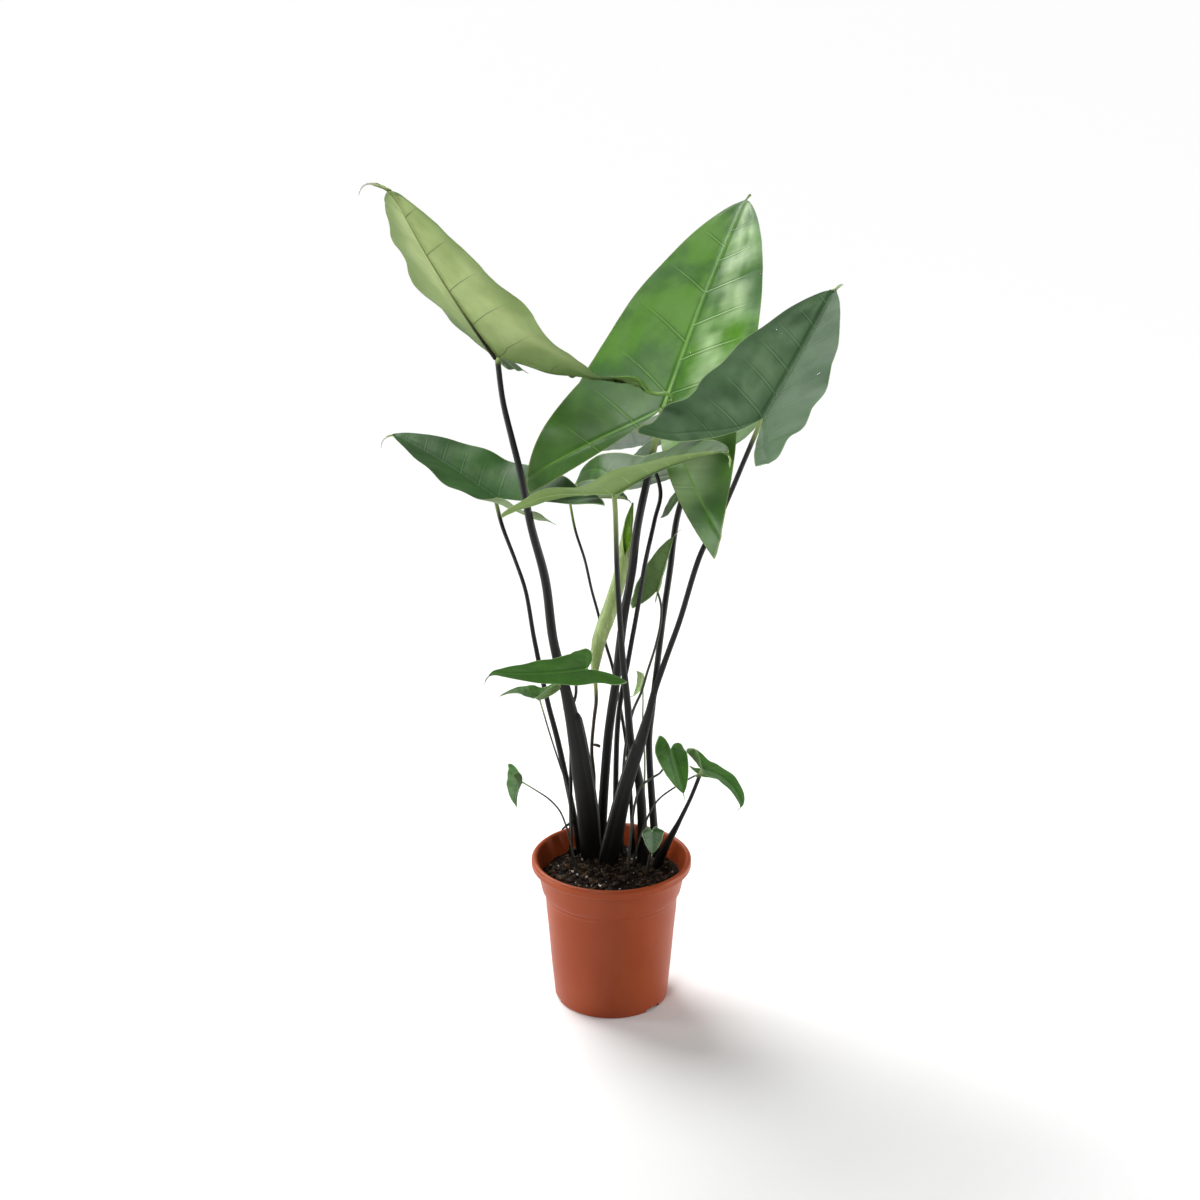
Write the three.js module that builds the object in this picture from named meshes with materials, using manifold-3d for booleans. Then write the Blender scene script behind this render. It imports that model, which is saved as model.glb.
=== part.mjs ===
// Potted black zebrina alocasia: a clump of arrow-shaped leaves on dark stalks, in a plastic nursery pot.
// Millimetres, +Z up. The origin is the centre of the pot's underside, -Y faces the viewer.
import * as THREE from 'three';
import { mergeVertices } from 'three/addons/utils/BufferGeometryUtils.js';
import Module from 'manifold-3d';

const wasm = await Module();
wasm.setup();

// Driving dimensions of the pot
const POT_HEIGHT = 200.5;
const POT_SIDES = 32;
const BASE_RADIUS = 75;
const LIP_RADIUS = 105;
const MOUTH_RADIUS = 97.5;
const STEP_HEIGHT = 152;
const STEP_RADIUS = 88.2;
const COLLAR_RADIUS = 91.5;
const COLLAR_TOP_RADIUS = 94;
const WALL = 2.2;
const FLOOR_TOP = 5.5;
const PAD_RADIUS = 18;
const CHANNEL_DEPTH = 3;
const FOOT_INNER_RADIUS = 66;
const DRAIN_HOLES = 8;
const DRAIN_RADIUS = 4.5;
const DRAIN_CIRCLE = 44;
const NOTCH_COUNT = 3;
const NOTCH_SIZE = { width: 24, height: 6.2, length: 24 };
const NOTCH_START_DEG = -43;

// Driving dimensions of the soil
const SOIL_LEVEL = 172;
const SOIL_SIDES = 32;
const SOIL_MOUND = { x: 8, y: 22, height: 5, spread: 55 };
const HOLE_DEPTH = 45;
const GAP = 0.35;

// Driving dimensions of the leaves
const BLADE_THICKNESS = 0.9;
const END_RELIEF = 6;
const LOBE_SHARE = 0.36;
const TAIL_SHARE = 0.08;
const BODY_SHARE = 0.93;
const WAVE_SHARE = 0.03;
const WAVE_COUNT = 3;
const SIDE_SHIFT = 1.3;
const CURL_START = 0.86;

const POT_COLOUR = { color: 0xc4603f, roughness: 0.45, metalness: 0 };
const SOIL_COLOUR = { color: 0x33241b, roughness: 0.95, metalness: 0 };
const STALK_COLOUR = { color: 0x24241f, roughness: 0.5, metalness: 0 };
const BLADE_COLOUR = { color: 0x4f7d34, roughness: 0.4, metalness: 0 };
const NEW_LEAF_COLOUR = { color: 0xa9bd73, roughness: 0.45, metalness: 0 };

// Every leaf: the joint is where the stalk meets the blade. length runs from there to the tip, lobe is
// how far the two rear lobes reach back, and half is the widest half width. Pairs hold the left and the
// right half's value. spread is a lobe tip's distance from the midrib as a share of half, bulge widens the
// lobe's inner margin and taper sharpens its tip. blunt rounds the lobe's corner, the less the higher it is,
// and 0 leaves it sharp. yaw is the compass direction of the leaf's tip from +X, pitch its climb, and roll
// lowers the right side. fold and lobeFold are how far each half is raised above
// the midrib, bend and lobeBend arch the blade along its length, and curl turns the drip tip down. A
// stalk's points run from just under the joint to the ground, as [x, y, z, half width].
const LEAVES = [
  {
    name: 'upper_left', joint: [-138, -20, 870], length: 303, lobe: 145, half: 148,
    spread: [1.31, 1.1], bulge: [-0.26, 0.12], taper: [1.4, 0.6], blunt: 0,
    yaw: 230, pitch: 47, roll: -55, fold: [52, -35], lobeFold: [62, -30], bend: 10, lobeBend: 26, curl: -65,
    grid: [10, 14], sides: 8,
    stalk: [[-132, -26, 818, 3.4], [-121, -30, 769, 3.8], [-111, -30, 725, 4.2], [-100, -26, 661, 5],
      [-83, -18, 587, 5.6], [-74, -8, 504, 6], [-59, 4, 432, 7.2], [-50, 12, 385, 9.5], [-40, 22, 313, 12.5],
      [-32, 34, 243, 13.4]],
    base: [-27, 46, 13.5], flat: 0.7,
  },
  {
    name: 'tall', joint: [64, 50, 790], length: 332, lobe: 151, half: 116,
    spread: [1.1, 1.3], bulge: [0.06, 0.3], taper: [0.6, 0.8], blunt: 0,
    yaw: 45, pitch: 63, roll: 31, fold: [-12, 26], lobeFold: [8, 31], bend: -30, lobeBend: -10, curl: -40,
    grid: [10, 14], sides: 8,
    stalk: [[53, 74, 733, 4.4], [46, 64, 700, 4.8], [32, 54, 631, 5.2], [26, 51, 578, 5.4], [15, 50, 511, 5.6],
      [6, 52, 427, 5.8], [-4, 58, 347, 6]],
    base: [-14, 74, 6.8], flat: 0.9,
  },
  {
    name: 'right', joint: [177, -75, 808], length: 212, lobe: 130, half: 89,
    spread: [1.1, 1.1], bulge: [0.12, 0.12], taper: [0.6, 0.6], blunt: 0,
    yaw: 51, pitch: 40, roll: -11, fold: [32, 8], lobeFold: [37, 15], bend: 4, lobeBend: 26, curl: -40,
    grid: [10, 14], sides: 8,
    stalk: [[161, -22, 743, 3], [147, 6, 694, 3.1], [133, 20, 654, 3.3], [111, 14, 610, 3.5], [86, 4, 527, 3.6],
      [68, -2, 475, 3.8], [55, -4, 435, 4.2], [48, -4, 405, 5.2], [37, 0, 362, 7.6], [18, 8, 291, 9],
      [4, 20, 220, 12]],
    base: [-4, 28, 13], flat: 0.7,
  },
  {
    name: 'front', joint: [2, -80, 716], length: 192, lobe: 56, half: 82,
    spread: [1.25, 1.47], bulge: [0, -0.14], taper: [0.6, 0.6], blunt: 0,
    yaw: -35, pitch: 37, roll: -8, fold: [25, 6], lobeFold: [52, 19], bend: -24, lobeBend: -34, curl: -130,
    grid: [10, 14], sides: 8,
    stalk: [[4, -58, 677, 3], [6, -36, 606, 3.2], [10, -18, 535, 3.6], [14, -4, 476, 4], [20, 10, 416, 4.6],
      [25, 20, 356, 5], [38, 26, 282, 6]],
    base: [42, 32, 7], flat: 0.9,
  },
  {
    name: 'left', joint: [-150, 92, 663], length: 186, lobe: 138, half: 71,
    spread: [1.1, 0.85], bulge: [0.12, -0.08], taper: [0.6, 0.6], blunt: 0,
    yaw: 148, pitch: 26, roll: 2, fold: [9, 20], lobeFold: [32, 42], bend: -10, lobeBend: 18, curl: -60,
    grid: [8, 12], sides: 8,
    stalk: [[-141, 82, 629, 2.6], [-124, 68, 586, 2.4], [-111, 56, 550, 2.6], [-100, 54, 482, 3],
      [-84, 54, 398, 3.4], [-68, 56, 327, 3.8]],
    base: [-42, 62, 4.4], flat: 1,
  },
  {
    name: 'tucked', joint: [-56, 184, 636], length: 86, lobe: 32, half: 44,
    spread: [1.1, 1.1], bulge: [0.12, 0.12], taper: [0.6, 0.6], blunt: 0,
    yaw: -14, pitch: 9, roll: 0, fold: [26, 34], lobeFold: [-10, 36], bend: -12, lobeBend: 2, curl: -60,
    grid: [8, 10], sides: 6,
    stalk: [[-48, 162, 599, 1.8], [-35, 132, 566, 1.8], [-26, 112, 531, 1.8], [-18, 102, 504, 1.9],
      [-7, 97, 459, 2], [1, 94, 432, 2.1], [13, 86, 369, 2.2], [22, 78, 310, 2.4]],
    base: [30, 66, 3], flat: 1,
  },
  {
    name: 'rear_middle', joint: [42, 150, 718], length: 110, lobe: 60, half: 56,
    spread: [1.1, 1.1], bulge: [0.12, 0.12], taper: [0.6, 0.6], blunt: 0,
    yaw: 20, pitch: 30, roll: 0, fold: [10, 10], lobeFold: [10, 10], bend: -20, lobeBend: 5, curl: -40,
    grid: [8, 12], sides: 6,
    stalk: [[63, 108, 668, 2.6], [55, 72, 639, 2.7], [42, 46, 586, 2.9], [33, 48, 525, 3], [23, 58, 460, 3.2],
      [9, 76, 361, 3.4]],
    base: [6, 75, 4], flat: 1,
  },
  {
    name: 'rear_right', joint: [104, 150, 684], length: 150, lobe: 80, half: 62,
    spread: [1.1, 1.1], bulge: [0.12, 0.12], taper: [0.6, 0.6], blunt: 0,
    yaw: 20, pitch: 40, roll: 0, fold: [10, 10], lobeFold: [10, 10], bend: -20, lobeBend: 5, curl: -40,
    grid: [8, 12], sides: 8,
    stalk: [[86, 136, 622, 4], [77, 122, 555, 4.1], [68, 110, 490, 4.1], [60, 95, 425, 4.1], [54, 78, 375, 4.2],
      [50, 66, 337, 4.3]],
    base: [60, 44, 5.5], flat: 1,
  },
  {
    name: 'slender', joint: [59, 78, 542], length: 92, lobe: 36, half: 28,
    spread: [0.85, 0.85], bulge: [0.12, 0.12], taper: [0.6, 0.6], blunt: 0,
    yaw: 308, pitch: 70, roll: 0, fold: [38, 38], lobeFold: [38, 38], bend: -3, lobeBend: 1, curl: -30,
    grid: [8, 10], sides: 6,
    stalk: [[64, 74, 524, 1.5], [64, 74, 500, 1.5], [58, 72, 469, 1.6], [47, 66, 433, 1.7], [39, 60, 407, 1.8],
      [28, 54, 382, 1.8], [18, 46, 331, 1.9]],
    base: [14, 56, 2.4], flat: 1,
  },
  {
    name: 'low_left', joint: [-31, -60, 485], length: 164, lobe: 53, half: 36,
    spread: [0.99, 1.49], bulge: [0.12, 0.12], taper: [0.6, 0.6], blunt: 4,
    yaw: 219, pitch: 6, roll: -9, fold: [-4, 5], lobeFold: [-7, 5], bend: 13, lobeBend: -13, curl: -110,
    grid: [8, 12], sides: 6,
    stalk: [[-41, -36, 466, 1.8], [-45, -14, 449, 1.9], [-46, 12, 423, 2], [-51, 28, 392, 2.1]],
    base: [-54, 46, 2.6], flat: 1,
  },
  {
    name: 'lower_left', joint: [-92, -10, 425], length: 56, lobe: 19, half: 37,
    spread: [1.05, 0.97], bulge: [0.12, 0.12], taper: [0.6, 0.6], blunt: 4,
    yaw: 166, pitch: 28, roll: 0, fold: [20, -1], lobeFold: [70, 27], bend: -57, lobeBend: -6, curl: -22,
    grid: [6, 8], sides: 6,
    stalk: [[-79, 0, 371, 1.1], [-67, 12, 324, 1.2], [-57, 22, 284, 1.3]],
    base: [-52, 30, 1.6], flat: 1,
  },
  {
    name: 'pale', joint: [41, 82, 425], length: 37, lobe: 3, half: 13,
    spread: [1.1, 1], bulge: [0.12, 0.12], taper: [0.6, 0.6], blunt: 3,
    yaw: 195, pitch: -97, roll: -7, fold: [13, 13], lobeFold: [20, 23], bend: 67, lobeBend: 4, curl: 33,
    grid: [6, 8], sides: 6,
    stalk: [[42, 86, 386, 1], [42, 86, 343, 1.1], [45, 84, 300, 1.2]],
    base: [41, 66, 1.6], flat: 1,
  },
  {
    name: 'outer_left', joint: [-116, -20, 315], length: 37, lobe: 23, half: 26,
    spread: [0.87, 1.07], bulge: [0.12, 0.12], taper: [0.6, 0.6], blunt: 3,
    yaw: 207, pitch: -58, roll: -5, fold: [36, 14], lobeFold: [66, 21], bend: -41, lobeBend: 24, curl: -19,
    grid: [6, 8], sides: 6,
    stalk: [[-99, -8, 298, 1], [-80, 4, 278, 1.1], [-65, 14, 252, 1.2]],
    base: [-47, 16, 1.6], flat: 1,
  },
  {
    name: 'heart', joint: [76, -10, 356], length: 88, lobe: 32, half: 21,
    spread: [1.04, 0.43], bulge: [0.12, 0.12], taper: [0.6, 0.6], blunt: 3,
    yaw: -80, pitch: -19, roll: 10, fold: [-17, -8], lobeFold: [-39, 42], bend: -1, lobeBend: -3, curl: -65,
    grid: [8, 10], sides: 6,
    stalk: [[64, 6, 317, 1.4], [53, 12, 306, 1.5], [37, 4, 295, 1.6]],
    base: [22, 8, 2], flat: 1,
  },
  {
    name: 'outer_right', joint: [117, -10, 328], length: 82, lobe: 20, half: 34,
    spread: [1.22, 1.13], bulge: [0.12, 0.12], taper: [0.6, 0.6], blunt: 4,
    yaw: -11, pitch: -6, roll: -44, fold: [39, -29], lobeFold: [63, 22], bend: -75, lobeBend: -31, curl: -77,
    grid: [8, 10], sides: 8,
    stalk: [[102, 4, 278, 2.6], [90, 8, 248, 3]],
    base: [62, 26, 7], flat: 1,
  },
  {
    name: 'tiny', joint: [52, -25, 248], length: 32, lobe: 8, half: 20,
    spread: [0.83, 0.77], bulge: [0.12, 0.12], taper: [0.6, 0.6], blunt: 3,
    yaw: -79, pitch: -63, roll: -41, fold: [16, -4], lobeFold: [-12, 16], bend: -10, lobeBend: 5, curl: -22,
    grid: [6, 6], sides: 6,
    stalk: [[53, -6, 217, 1.4]],
    base: [46, 2, 1.8], flat: 1,
  },
  {
    name: 'hidden', joint: [115, 40, 299], length: 34, lobe: 10, half: 15,
    spread: [1.1, 1.1], bulge: [0.12, 0.12], taper: [0.6, 0.6], blunt: 0,
    yaw: 10, pitch: -10, roll: 0, fold: [10, 10], lobeFold: [10, 10], bend: -20, lobeBend: 0, curl: -40,
    grid: [6, 6], sides: 6,
    stalk: [[104, 36, 295, 1.2], [84, 30, 285, 1.2], [57, 14, 268, 1.3]],
    base: [28, 20, 1.6], flat: 1,
  },
];

// The newest leaf is still rolled: a spindle of [x, y, z, half width] from its point down to its stalk.
const NEW_LEAF = {
  spindle: [[27, 74, 661, 1], [22, 74, 638, 6], [17, 73, 605, 8], [11, 72, 565, 9], [2, 71, 531, 9.6],
    [-7, 71, 503, 10.2], [-16, 70, 476, 9.4], [-20, 69, 453, 7.6], [-22, 69, 432, 4.6]],
  stalk: [[-22.1, 69, 431.6, 2.8], [-20, 68, 393, 2.5], [-23, 66, 365, 2.3], [-26, 66, 322, 2.3],
    [-23, 67, 279, 2.5]],
  base: [-29, 72, 3],
};

// A dried stub stands out of the left leaf's stalk near the soil.
const STUB = { from: [-47, 60, 222, 2.2], to: [-66, 50, 214, 1.3] };

const DEG = Math.PI / 180;
const clamp = (value, low, high) => Math.min(high, Math.max(low, value));

// Closed solids from any geometry, and back
function toSolid(geometry) {
  const bare = new THREE.BufferGeometry();
  bare.setAttribute('position', geometry.getAttribute('position').clone());
  bare.setIndex(geometry.getIndex());
  const merged = mergeVertices(bare, 1e-4);
  return new wasm.Manifold(new wasm.Mesh({
    numProp: 3,
    vertProperties: new Float32Array(merged.getAttribute('position').array),
    triVerts: new Uint32Array(merged.getIndex().array),
  }));
}

function toGeometry(solid) {
  const mesh = solid.getMesh();
  const geometry = new THREE.BufferGeometry();
  geometry.setAttribute('position', new THREE.BufferAttribute(new Float32Array(mesh.vertProperties), 3));
  geometry.setIndex(new THREE.BufferAttribute(new Uint32Array(mesh.triVerts), 1));
  return geometry;
}

function piece(name, solid, look) {
  const geometry = toGeometry(solid);
  geometry.computeVertexNormals();
  const mesh = new THREE.Mesh(geometry, new THREE.MeshStandardMaterial(look));
  mesh.name = name;
  return mesh;
}

function revolve(profile, sides) {
  const points = profile.map(([radius, height]) => new THREE.Vector2(radius, height));
  const geometry = new THREE.LatheGeometry(points, sides);
  geometry.rotateX(Math.PI / 2);
  return toSolid(geometry);
}

// A round bar along a curve: a lathe of unit height whose rings are carried to the curve. flat is the
// section's depth as a share of its width, reached at the foot.
function sweep(points, sides, steps, flat, grow) {
  const places = points.map(([x, y, z]) => new THREE.Vector3(x, y, z));
  const curve = new THREE.CatmullRomCurve3(places, false, 'centripetal');
  const widthAt = (share) => {
    const at = share * (points.length - 1);
    const from = Math.min(points.length - 2, Math.floor(at));
    return THREE.MathUtils.lerp(points[from][3], points[from + 1][3], at - from) + grow;
  };
  const profile = [new THREE.Vector2(0, 0)];
  for (let step = 0; step <= steps; step += 1) {
    profile.push(new THREE.Vector2(1, step / steps));
  }
  profile.push(new THREE.Vector2(0, 1));
  const geometry = new THREE.LatheGeometry(profile, sides);
  const position = geometry.getAttribute('position');
  const across = new THREE.Vector3();
  const away = new THREE.Vector3();
  for (let index = 0; index < position.count; index += 1) {
    const share = position.getY(index);
    const place = curve.getPoint(share);
    const along = curve.getTangent(share);
    place.addScaledVector(along, share === 0 ? -grow : (share === 1 ? grow : 0));
    across.set(1, 0, 0).addScaledVector(along, -along.x).normalize();
    away.crossVectors(across, along);
    const width = widthAt(share);
    const depth = width * THREE.MathUtils.lerp(1, flat, share);
    place.addScaledVector(across, position.getX(index) * width);
    place.addScaledVector(away, position.getZ(index) * depth);
    position.setXYZ(index, place.x, place.y, place.z);
  }
  return toSolid(outward(geometry));
}

// Turns a closed geometry's faces outward when its volume comes out negative
function outward(geometry) {
  const position = geometry.getAttribute('position');
  const order = geometry.getIndex();
  const corner = [new THREE.Vector3(), new THREE.Vector3(), new THREE.Vector3()];
  let volume = 0;
  for (let face = 0; face < order.count; face += 3) {
    corner.forEach((point, turn) => point.fromBufferAttribute(position, order.getX(face + turn)));
    volume += corner[0].dot(corner[1].clone().cross(corner[2]));
  }
  if (volume < 0) {
    for (let face = 0; face < order.count; face += 3) {
      const second = order.getX(face + 1);
      order.setX(face + 1, order.getX(face + 2));
      order.setX(face + 2, second);
    }
  }
  return geometry;
}

// The flat leaf outline: side runs from -1 at the left margin over the midrib to 1 at the right margin,
// along from 0 at the inner edge of the rear lobes to 1 at the tip.
function flatLeaf(side, along, leaf) {
  const turn = side < 0 ? 0 : 1;
  const cut = leaf.blunt > 0 ? 1 / (leaf.blunt + 1) : 0;
  const whole = Math.abs(side);
  const inner = 1 - clamp(along / LOBE_SHARE, 0, 1);
  const out = whole * (1 - cut * inner ** leaf.blunt);
  const rear = 1 - inner * (1 - cut * whole ** leaf.blunt);
  const ahead = clamp((along - LOBE_SHARE) / (1 - LOBE_SHARE), 0, 1);
  const back = 1 - rear ** 1.5;
  const lobeWidth = 0.5 + (leaf.spread[turn] - 0.5) * back + 0.5 * (1 - back ** 1.3) ** leaf.taper[turn];
  const bodyWidth = (Math.max(0, 1 - (ahead / BODY_SHARE) ** 1.6) ** 0.75 + TAIL_SHARE * (1 - ahead))
    / (1 + TAIL_SHARE);
  const inLobe = along < LOBE_SHARE;
  const marginX = leaf.half * (inLobe ? lobeWidth : bodyWidth);
  const marginY = inLobe ? -leaf.lobe * back : leaf.length * ahead;
  const ribY = leaf.length * (inLobe ? 0.1 * rear : 0.1 + 0.9 * ahead);
  const bulge = leaf.bulge[turn] * leaf.half * 4 * out * (1 - out) * (1 - rear);
  return { x: Math.sign(side) * (out * marginX - bulge), y: ribY + out * (marginY - ribY) };
}

// The midrib's arch in the leaf's own upright plane, as reach, height and slope at a distance along it
function ribAt(distance, leaf) {
  const steps = 40;
  const forward = distance >= 0;
  const whole = Math.abs(distance);
  let reach = 0;
  let height = 0;
  let slope = 0;
  for (let step = 0; step < steps; step += 1) {
    const share = (whole * (step + 0.5)) / steps / (forward ? leaf.length : leaf.lobe);
    const curl = leaf.curl * clamp((share - CURL_START) / (1 - CURL_START), 0, 1) ** 1.5;
    slope = (forward ? leaf.bend * share + curl : leaf.lobeBend * share) * DEG;
    reach += (Math.cos(slope) * whole) / steps;
    height += (Math.sin(slope) * whole) / steps;
  }
  return forward ? { reach, height, slope } : { reach: -reach, height, slope: -slope };
}

// A point of the leaf's upper face in the leaf's own axes: x to its right, y to its tip, z up
function shapedLeaf(side, along, leaf) {
  const { x, y } = flatLeaf(side, along, leaf);
  const out = Math.abs(x);
  const blend = THREE.MathUtils.smoothstep(y, -0.5 * leaf.lobe, 0.3 * leaf.lobe);
  const turn = x < 0 ? 0 : 1;
  const fold = THREE.MathUtils.lerp(leaf.lobeFold[turn], leaf.fold[turn], blend) * DEG;
  const phase = 2 * Math.PI * WAVE_COUNT * (y / leaf.length) + SIDE_SHIFT * turn;
  const wave = WAVE_SHARE * leaf.half * (out / leaf.half) ** 2 * Math.sin(phase);
  const lateral = Math.sign(x) * out * Math.cos(fold);
  const lift = out * Math.sin(fold) + wave;
  const rib = ribAt(y, leaf);
  return new THREE.Vector3(lateral, rib.reach - lift * Math.sin(rib.slope), rib.height + lift * Math.cos(rib.slope));
}

// The leaf's place: its own axes turned by yaw, pitch and roll, at the joint
function leafPlace(leaf) {
  const yaw = leaf.yaw * DEG;
  const pitch = leaf.pitch * DEG;
  const roll = leaf.roll * DEG;
  const tipward = new THREE.Vector3(Math.cos(pitch) * Math.cos(yaw), Math.cos(pitch) * Math.sin(yaw), Math.sin(pitch));
  const level = new THREE.Vector3(Math.sin(yaw), -Math.cos(yaw), 0);
  const upright = new THREE.Vector3().crossVectors(level, tipward);
  const right = level.clone().multiplyScalar(Math.cos(roll)).addScaledVector(upright, -Math.sin(roll));
  const up = level.clone().multiplyScalar(Math.sin(roll)).addScaledVector(upright, Math.cos(roll));
  return new THREE.Matrix4().makeBasis(right, tipward, up).setPosition(...leaf.joint);
}

// A blade: the upper face is a grid carried to the leaf's shape, the lower face the same grid moved along
// its normals, and a narrow wall joins their margins. Both faces keep the same diagonals.
function bladeSolid(leaf, above, below) {
  const [across, lengthwise] = leaf.grid;
  const sheet = new THREE.PlaneGeometry(2, 1, across, lengthwise);
  const place = leafPlace(leaf);
  const flat = sheet.getAttribute('position');
  for (let index = 0; index < flat.count; index += 1) {
    const point = shapedLeaf(flat.getX(index), flat.getY(index) + 0.5, leaf).applyMatrix4(place);
    flat.setXYZ(index, point.x, point.y, point.z);
  }
  sheet.deleteAttribute('uv');
  sheet.deleteAttribute('normal');
  const upper = mergeVertices(sheet, 1e-3);
  const faces = [];
  const order = upper.getIndex();
  for (let face = 0; face < order.count; face += 3) {
    const triangle = [order.getX(face), order.getX(face + 1), order.getX(face + 2)];
    if (new Set(triangle).size === 3) {
      faces.push(triangle);
    }
  }
  upper.setIndex(faces.flat());
  upper.computeVertexNormals();
  const position = upper.getAttribute('position');
  const normal = upper.getAttribute('normal');
  const count = position.count;
  const points = new Float32Array(count * 6);
  for (let index = 0; index < count; index += 1) {
    const top = new THREE.Vector3().fromBufferAttribute(position, index);
    const facing = new THREE.Vector3().fromBufferAttribute(normal, index);
    top.clone().addScaledVector(facing, above).toArray(points, index * 3);
    top.clone().addScaledVector(facing, -below).toArray(points, (count + index) * 3);
  }
  const walls = new Map();
  faces.forEach(([a, b, c]) => [[a, b], [b, c], [c, a]].forEach(([from, to]) => {
    if (!walls.delete(`${to}_${from}`)) {
      walls.set(`${from}_${to}`, [from, to]);
    }
  }));
  const closed = [...faces.flat()];
  faces.forEach(([a, b, c]) => closed.push(count + c, count + b, count + a));
  walls.forEach(([from, to]) => closed.push(to, from, count + from, to, count + from, count + to));
  const geometry = new THREE.BufferGeometry();
  geometry.setAttribute('position', new THREE.BufferAttribute(points, 3));
  geometry.setIndex(closed);
  return toSolid(outward(geometry));
}

// A stalk's whole route: from inside the blade at its joint, down its points and into its hole in the soil
function stalkRoute(leaf) {
  const joint = new THREE.Vector3(...leaf.joint);
  const [x, y, width] = leaf.base;
  return [
    [...joint.toArray(), leaf.stalk[0][3]],
    ...leaf.stalk,
    [x, y, SOIL_LEVEL, width],
    [x, y, SOIL_LEVEL - HOLE_DEPTH, width],
  ];
}

function stalkSolid(leaf, grow) {
  const route = stalkRoute(leaf);
  return sweep(route, leaf.sides, Math.round(1.5 * route.length), leaf.flat, grow);
}

// A stalk ends just under its blade: the blade with a gap round it is cut out of the stalk, and cut again
// a little way back from the tip, where the stalk shows in the notch between the rear lobes.
function leafPieces(leaf) {
  const blade = bladeSolid(leaf, 0, BLADE_THICKNESS);
  const clearance = bladeSolid(leaf, END_RELIEF, BLADE_THICKNESS + GAP);
  const tipward = new THREE.Vector3().setFromMatrixColumn(leafPlace(leaf), 1);
  const notch = clearance.translate(tipward.multiplyScalar(-2 * GAP).toArray());
  const stalk = largest(stalkSolid(leaf, 0).subtract(clearance).subtract(notch));
  return { blade, stalk };
}

// Cutting a stalk's end to the blade can leave a scrap beyond it, which is dropped
function largest(solid) {
  return solid.decompose().sort((first, second) => second.volume() - first.volume())[0];
}

// The soil: a disc that fills the pot, with a lumpy top and one plain hole for every stalk
function soilHeight(x, y) {
  const away = Math.hypot(x - SOIL_MOUND.x, y - SOIL_MOUND.y) / SOIL_MOUND.spread;
  const mound = SOIL_MOUND.height * Math.exp(-away * away);
  const lumps = 1.6 * Math.sin(0.23 * x + 0.8) * Math.cos(0.19 * y) + 1.1 * Math.sin(0.41 * x - 0.33 * y);
  return SOIL_LEVEL - 1 + mound + lumps;
}

function soilSolid(holes) {
  const walls = potInside().map(([radius, height]) => [radius - GAP, height]);
  walls[0][1] += GAP;
  const edge = walls[walls.length - 1][0];
  const profile = [[0, FLOOR_TOP + GAP], ...walls];
  [0.9, 0.76, 0.6, 0.42, 0.22].forEach((share) => profile.push([edge * share, SOIL_LEVEL]));
  profile.push([0, SOIL_LEVEL]);
  const points = profile.map(([radius, height]) => new THREE.Vector2(radius, height));
  const geometry = new THREE.LatheGeometry(points, SOIL_SIDES);
  geometry.rotateX(Math.PI / 2);
  const position = geometry.getAttribute('position');
  for (let index = 0; index < position.count; index += 1) {
    const radius = Math.hypot(position.getX(index), position.getY(index));
    if (position.getZ(index) > SOIL_LEVEL - 1 && radius < edge - 1) {
      position.setZ(index, soilHeight(position.getX(index), position.getY(index)));
    }
  }
  let soil = toSolid(outward(geometry));
  holes.forEach((hole) => {
    soil = soil.subtract(hole);
  });
  return soil;
}

// The pot's inside, one wall in from its outside: a slow taper, a step, then the wider collar
function potInside() {
  return [
    [BASE_RADIUS - WALL, FLOOR_TOP], [STEP_RADIUS - 2 * WALL, STEP_HEIGHT - 8],
    [COLLAR_RADIUS - WALL, STEP_HEIGHT + 6], [COLLAR_TOP_RADIUS - WALL, SOIL_LEVEL],
  ];
}

function potSolid() {
  const lipBottom = POT_HEIGHT - 12;
  const profile = [
    [0, 0], [PAD_RADIUS, 0], [PAD_RADIUS + 2, CHANNEL_DEPTH],
    [FOOT_INNER_RADIUS - 2, CHANNEL_DEPTH], [FOOT_INNER_RADIUS, 0],
    [BASE_RADIUS - 1.5, 0], [BASE_RADIUS, 1.5],
    [79.6, 50], [83.4, 100], [86.2, 130], [86.8, STEP_HEIGHT - 6],
    [STEP_RADIUS, STEP_HEIGHT - 4], [STEP_RADIUS, STEP_HEIGHT], [COLLAR_RADIUS, STEP_HEIGHT + 4],
    [COLLAR_TOP_RADIUS, 168], [97, lipBottom + 1],
    [101, lipBottom + 2.4], [103.6, lipBottom], [LIP_RADIUS, lipBottom + 1.6], [LIP_RADIUS, POT_HEIGHT - 3],
    [103.4, POT_HEIGHT - 0.7], [101.2, POT_HEIGHT], [99, POT_HEIGHT - 0.7], [MOUTH_RADIUS, POT_HEIGHT - 3],
    [94.6, lipBottom - 3], ...potInside().reverse(), [0, FLOOR_TOP],
  ];
  let pot = revolve(profile, POT_SIDES);
  for (let hole = 0; hole < DRAIN_HOLES; hole += 1) {
    const drain = new THREE.CylinderGeometry(DRAIN_RADIUS, DRAIN_RADIUS, 20, 10);
    drain.rotateX(Math.PI / 2);
    drain.translate(DRAIN_CIRCLE, 0, 5);
    drain.rotateZ(((hole + 0.5) * 2 * Math.PI) / DRAIN_HOLES);
    pot = pot.subtract(toSolid(drain));
  }
  for (let notch = 0; notch < NOTCH_COUNT; notch += 1) {
    const cut = new THREE.BoxGeometry(NOTCH_SIZE.length, NOTCH_SIZE.width, NOTCH_SIZE.height);
    cut.translate(BASE_RADIUS, 0, NOTCH_SIZE.height / 2 - 1.6);
    cut.rotateZ((NOTCH_START_DEG + (notch * 360) / NOTCH_COUNT) * DEG);
    pot = pot.subtract(toSolid(cut));
  }
  return pot;
}

const plant = new THREE.Group();
const holes = [];

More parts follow.
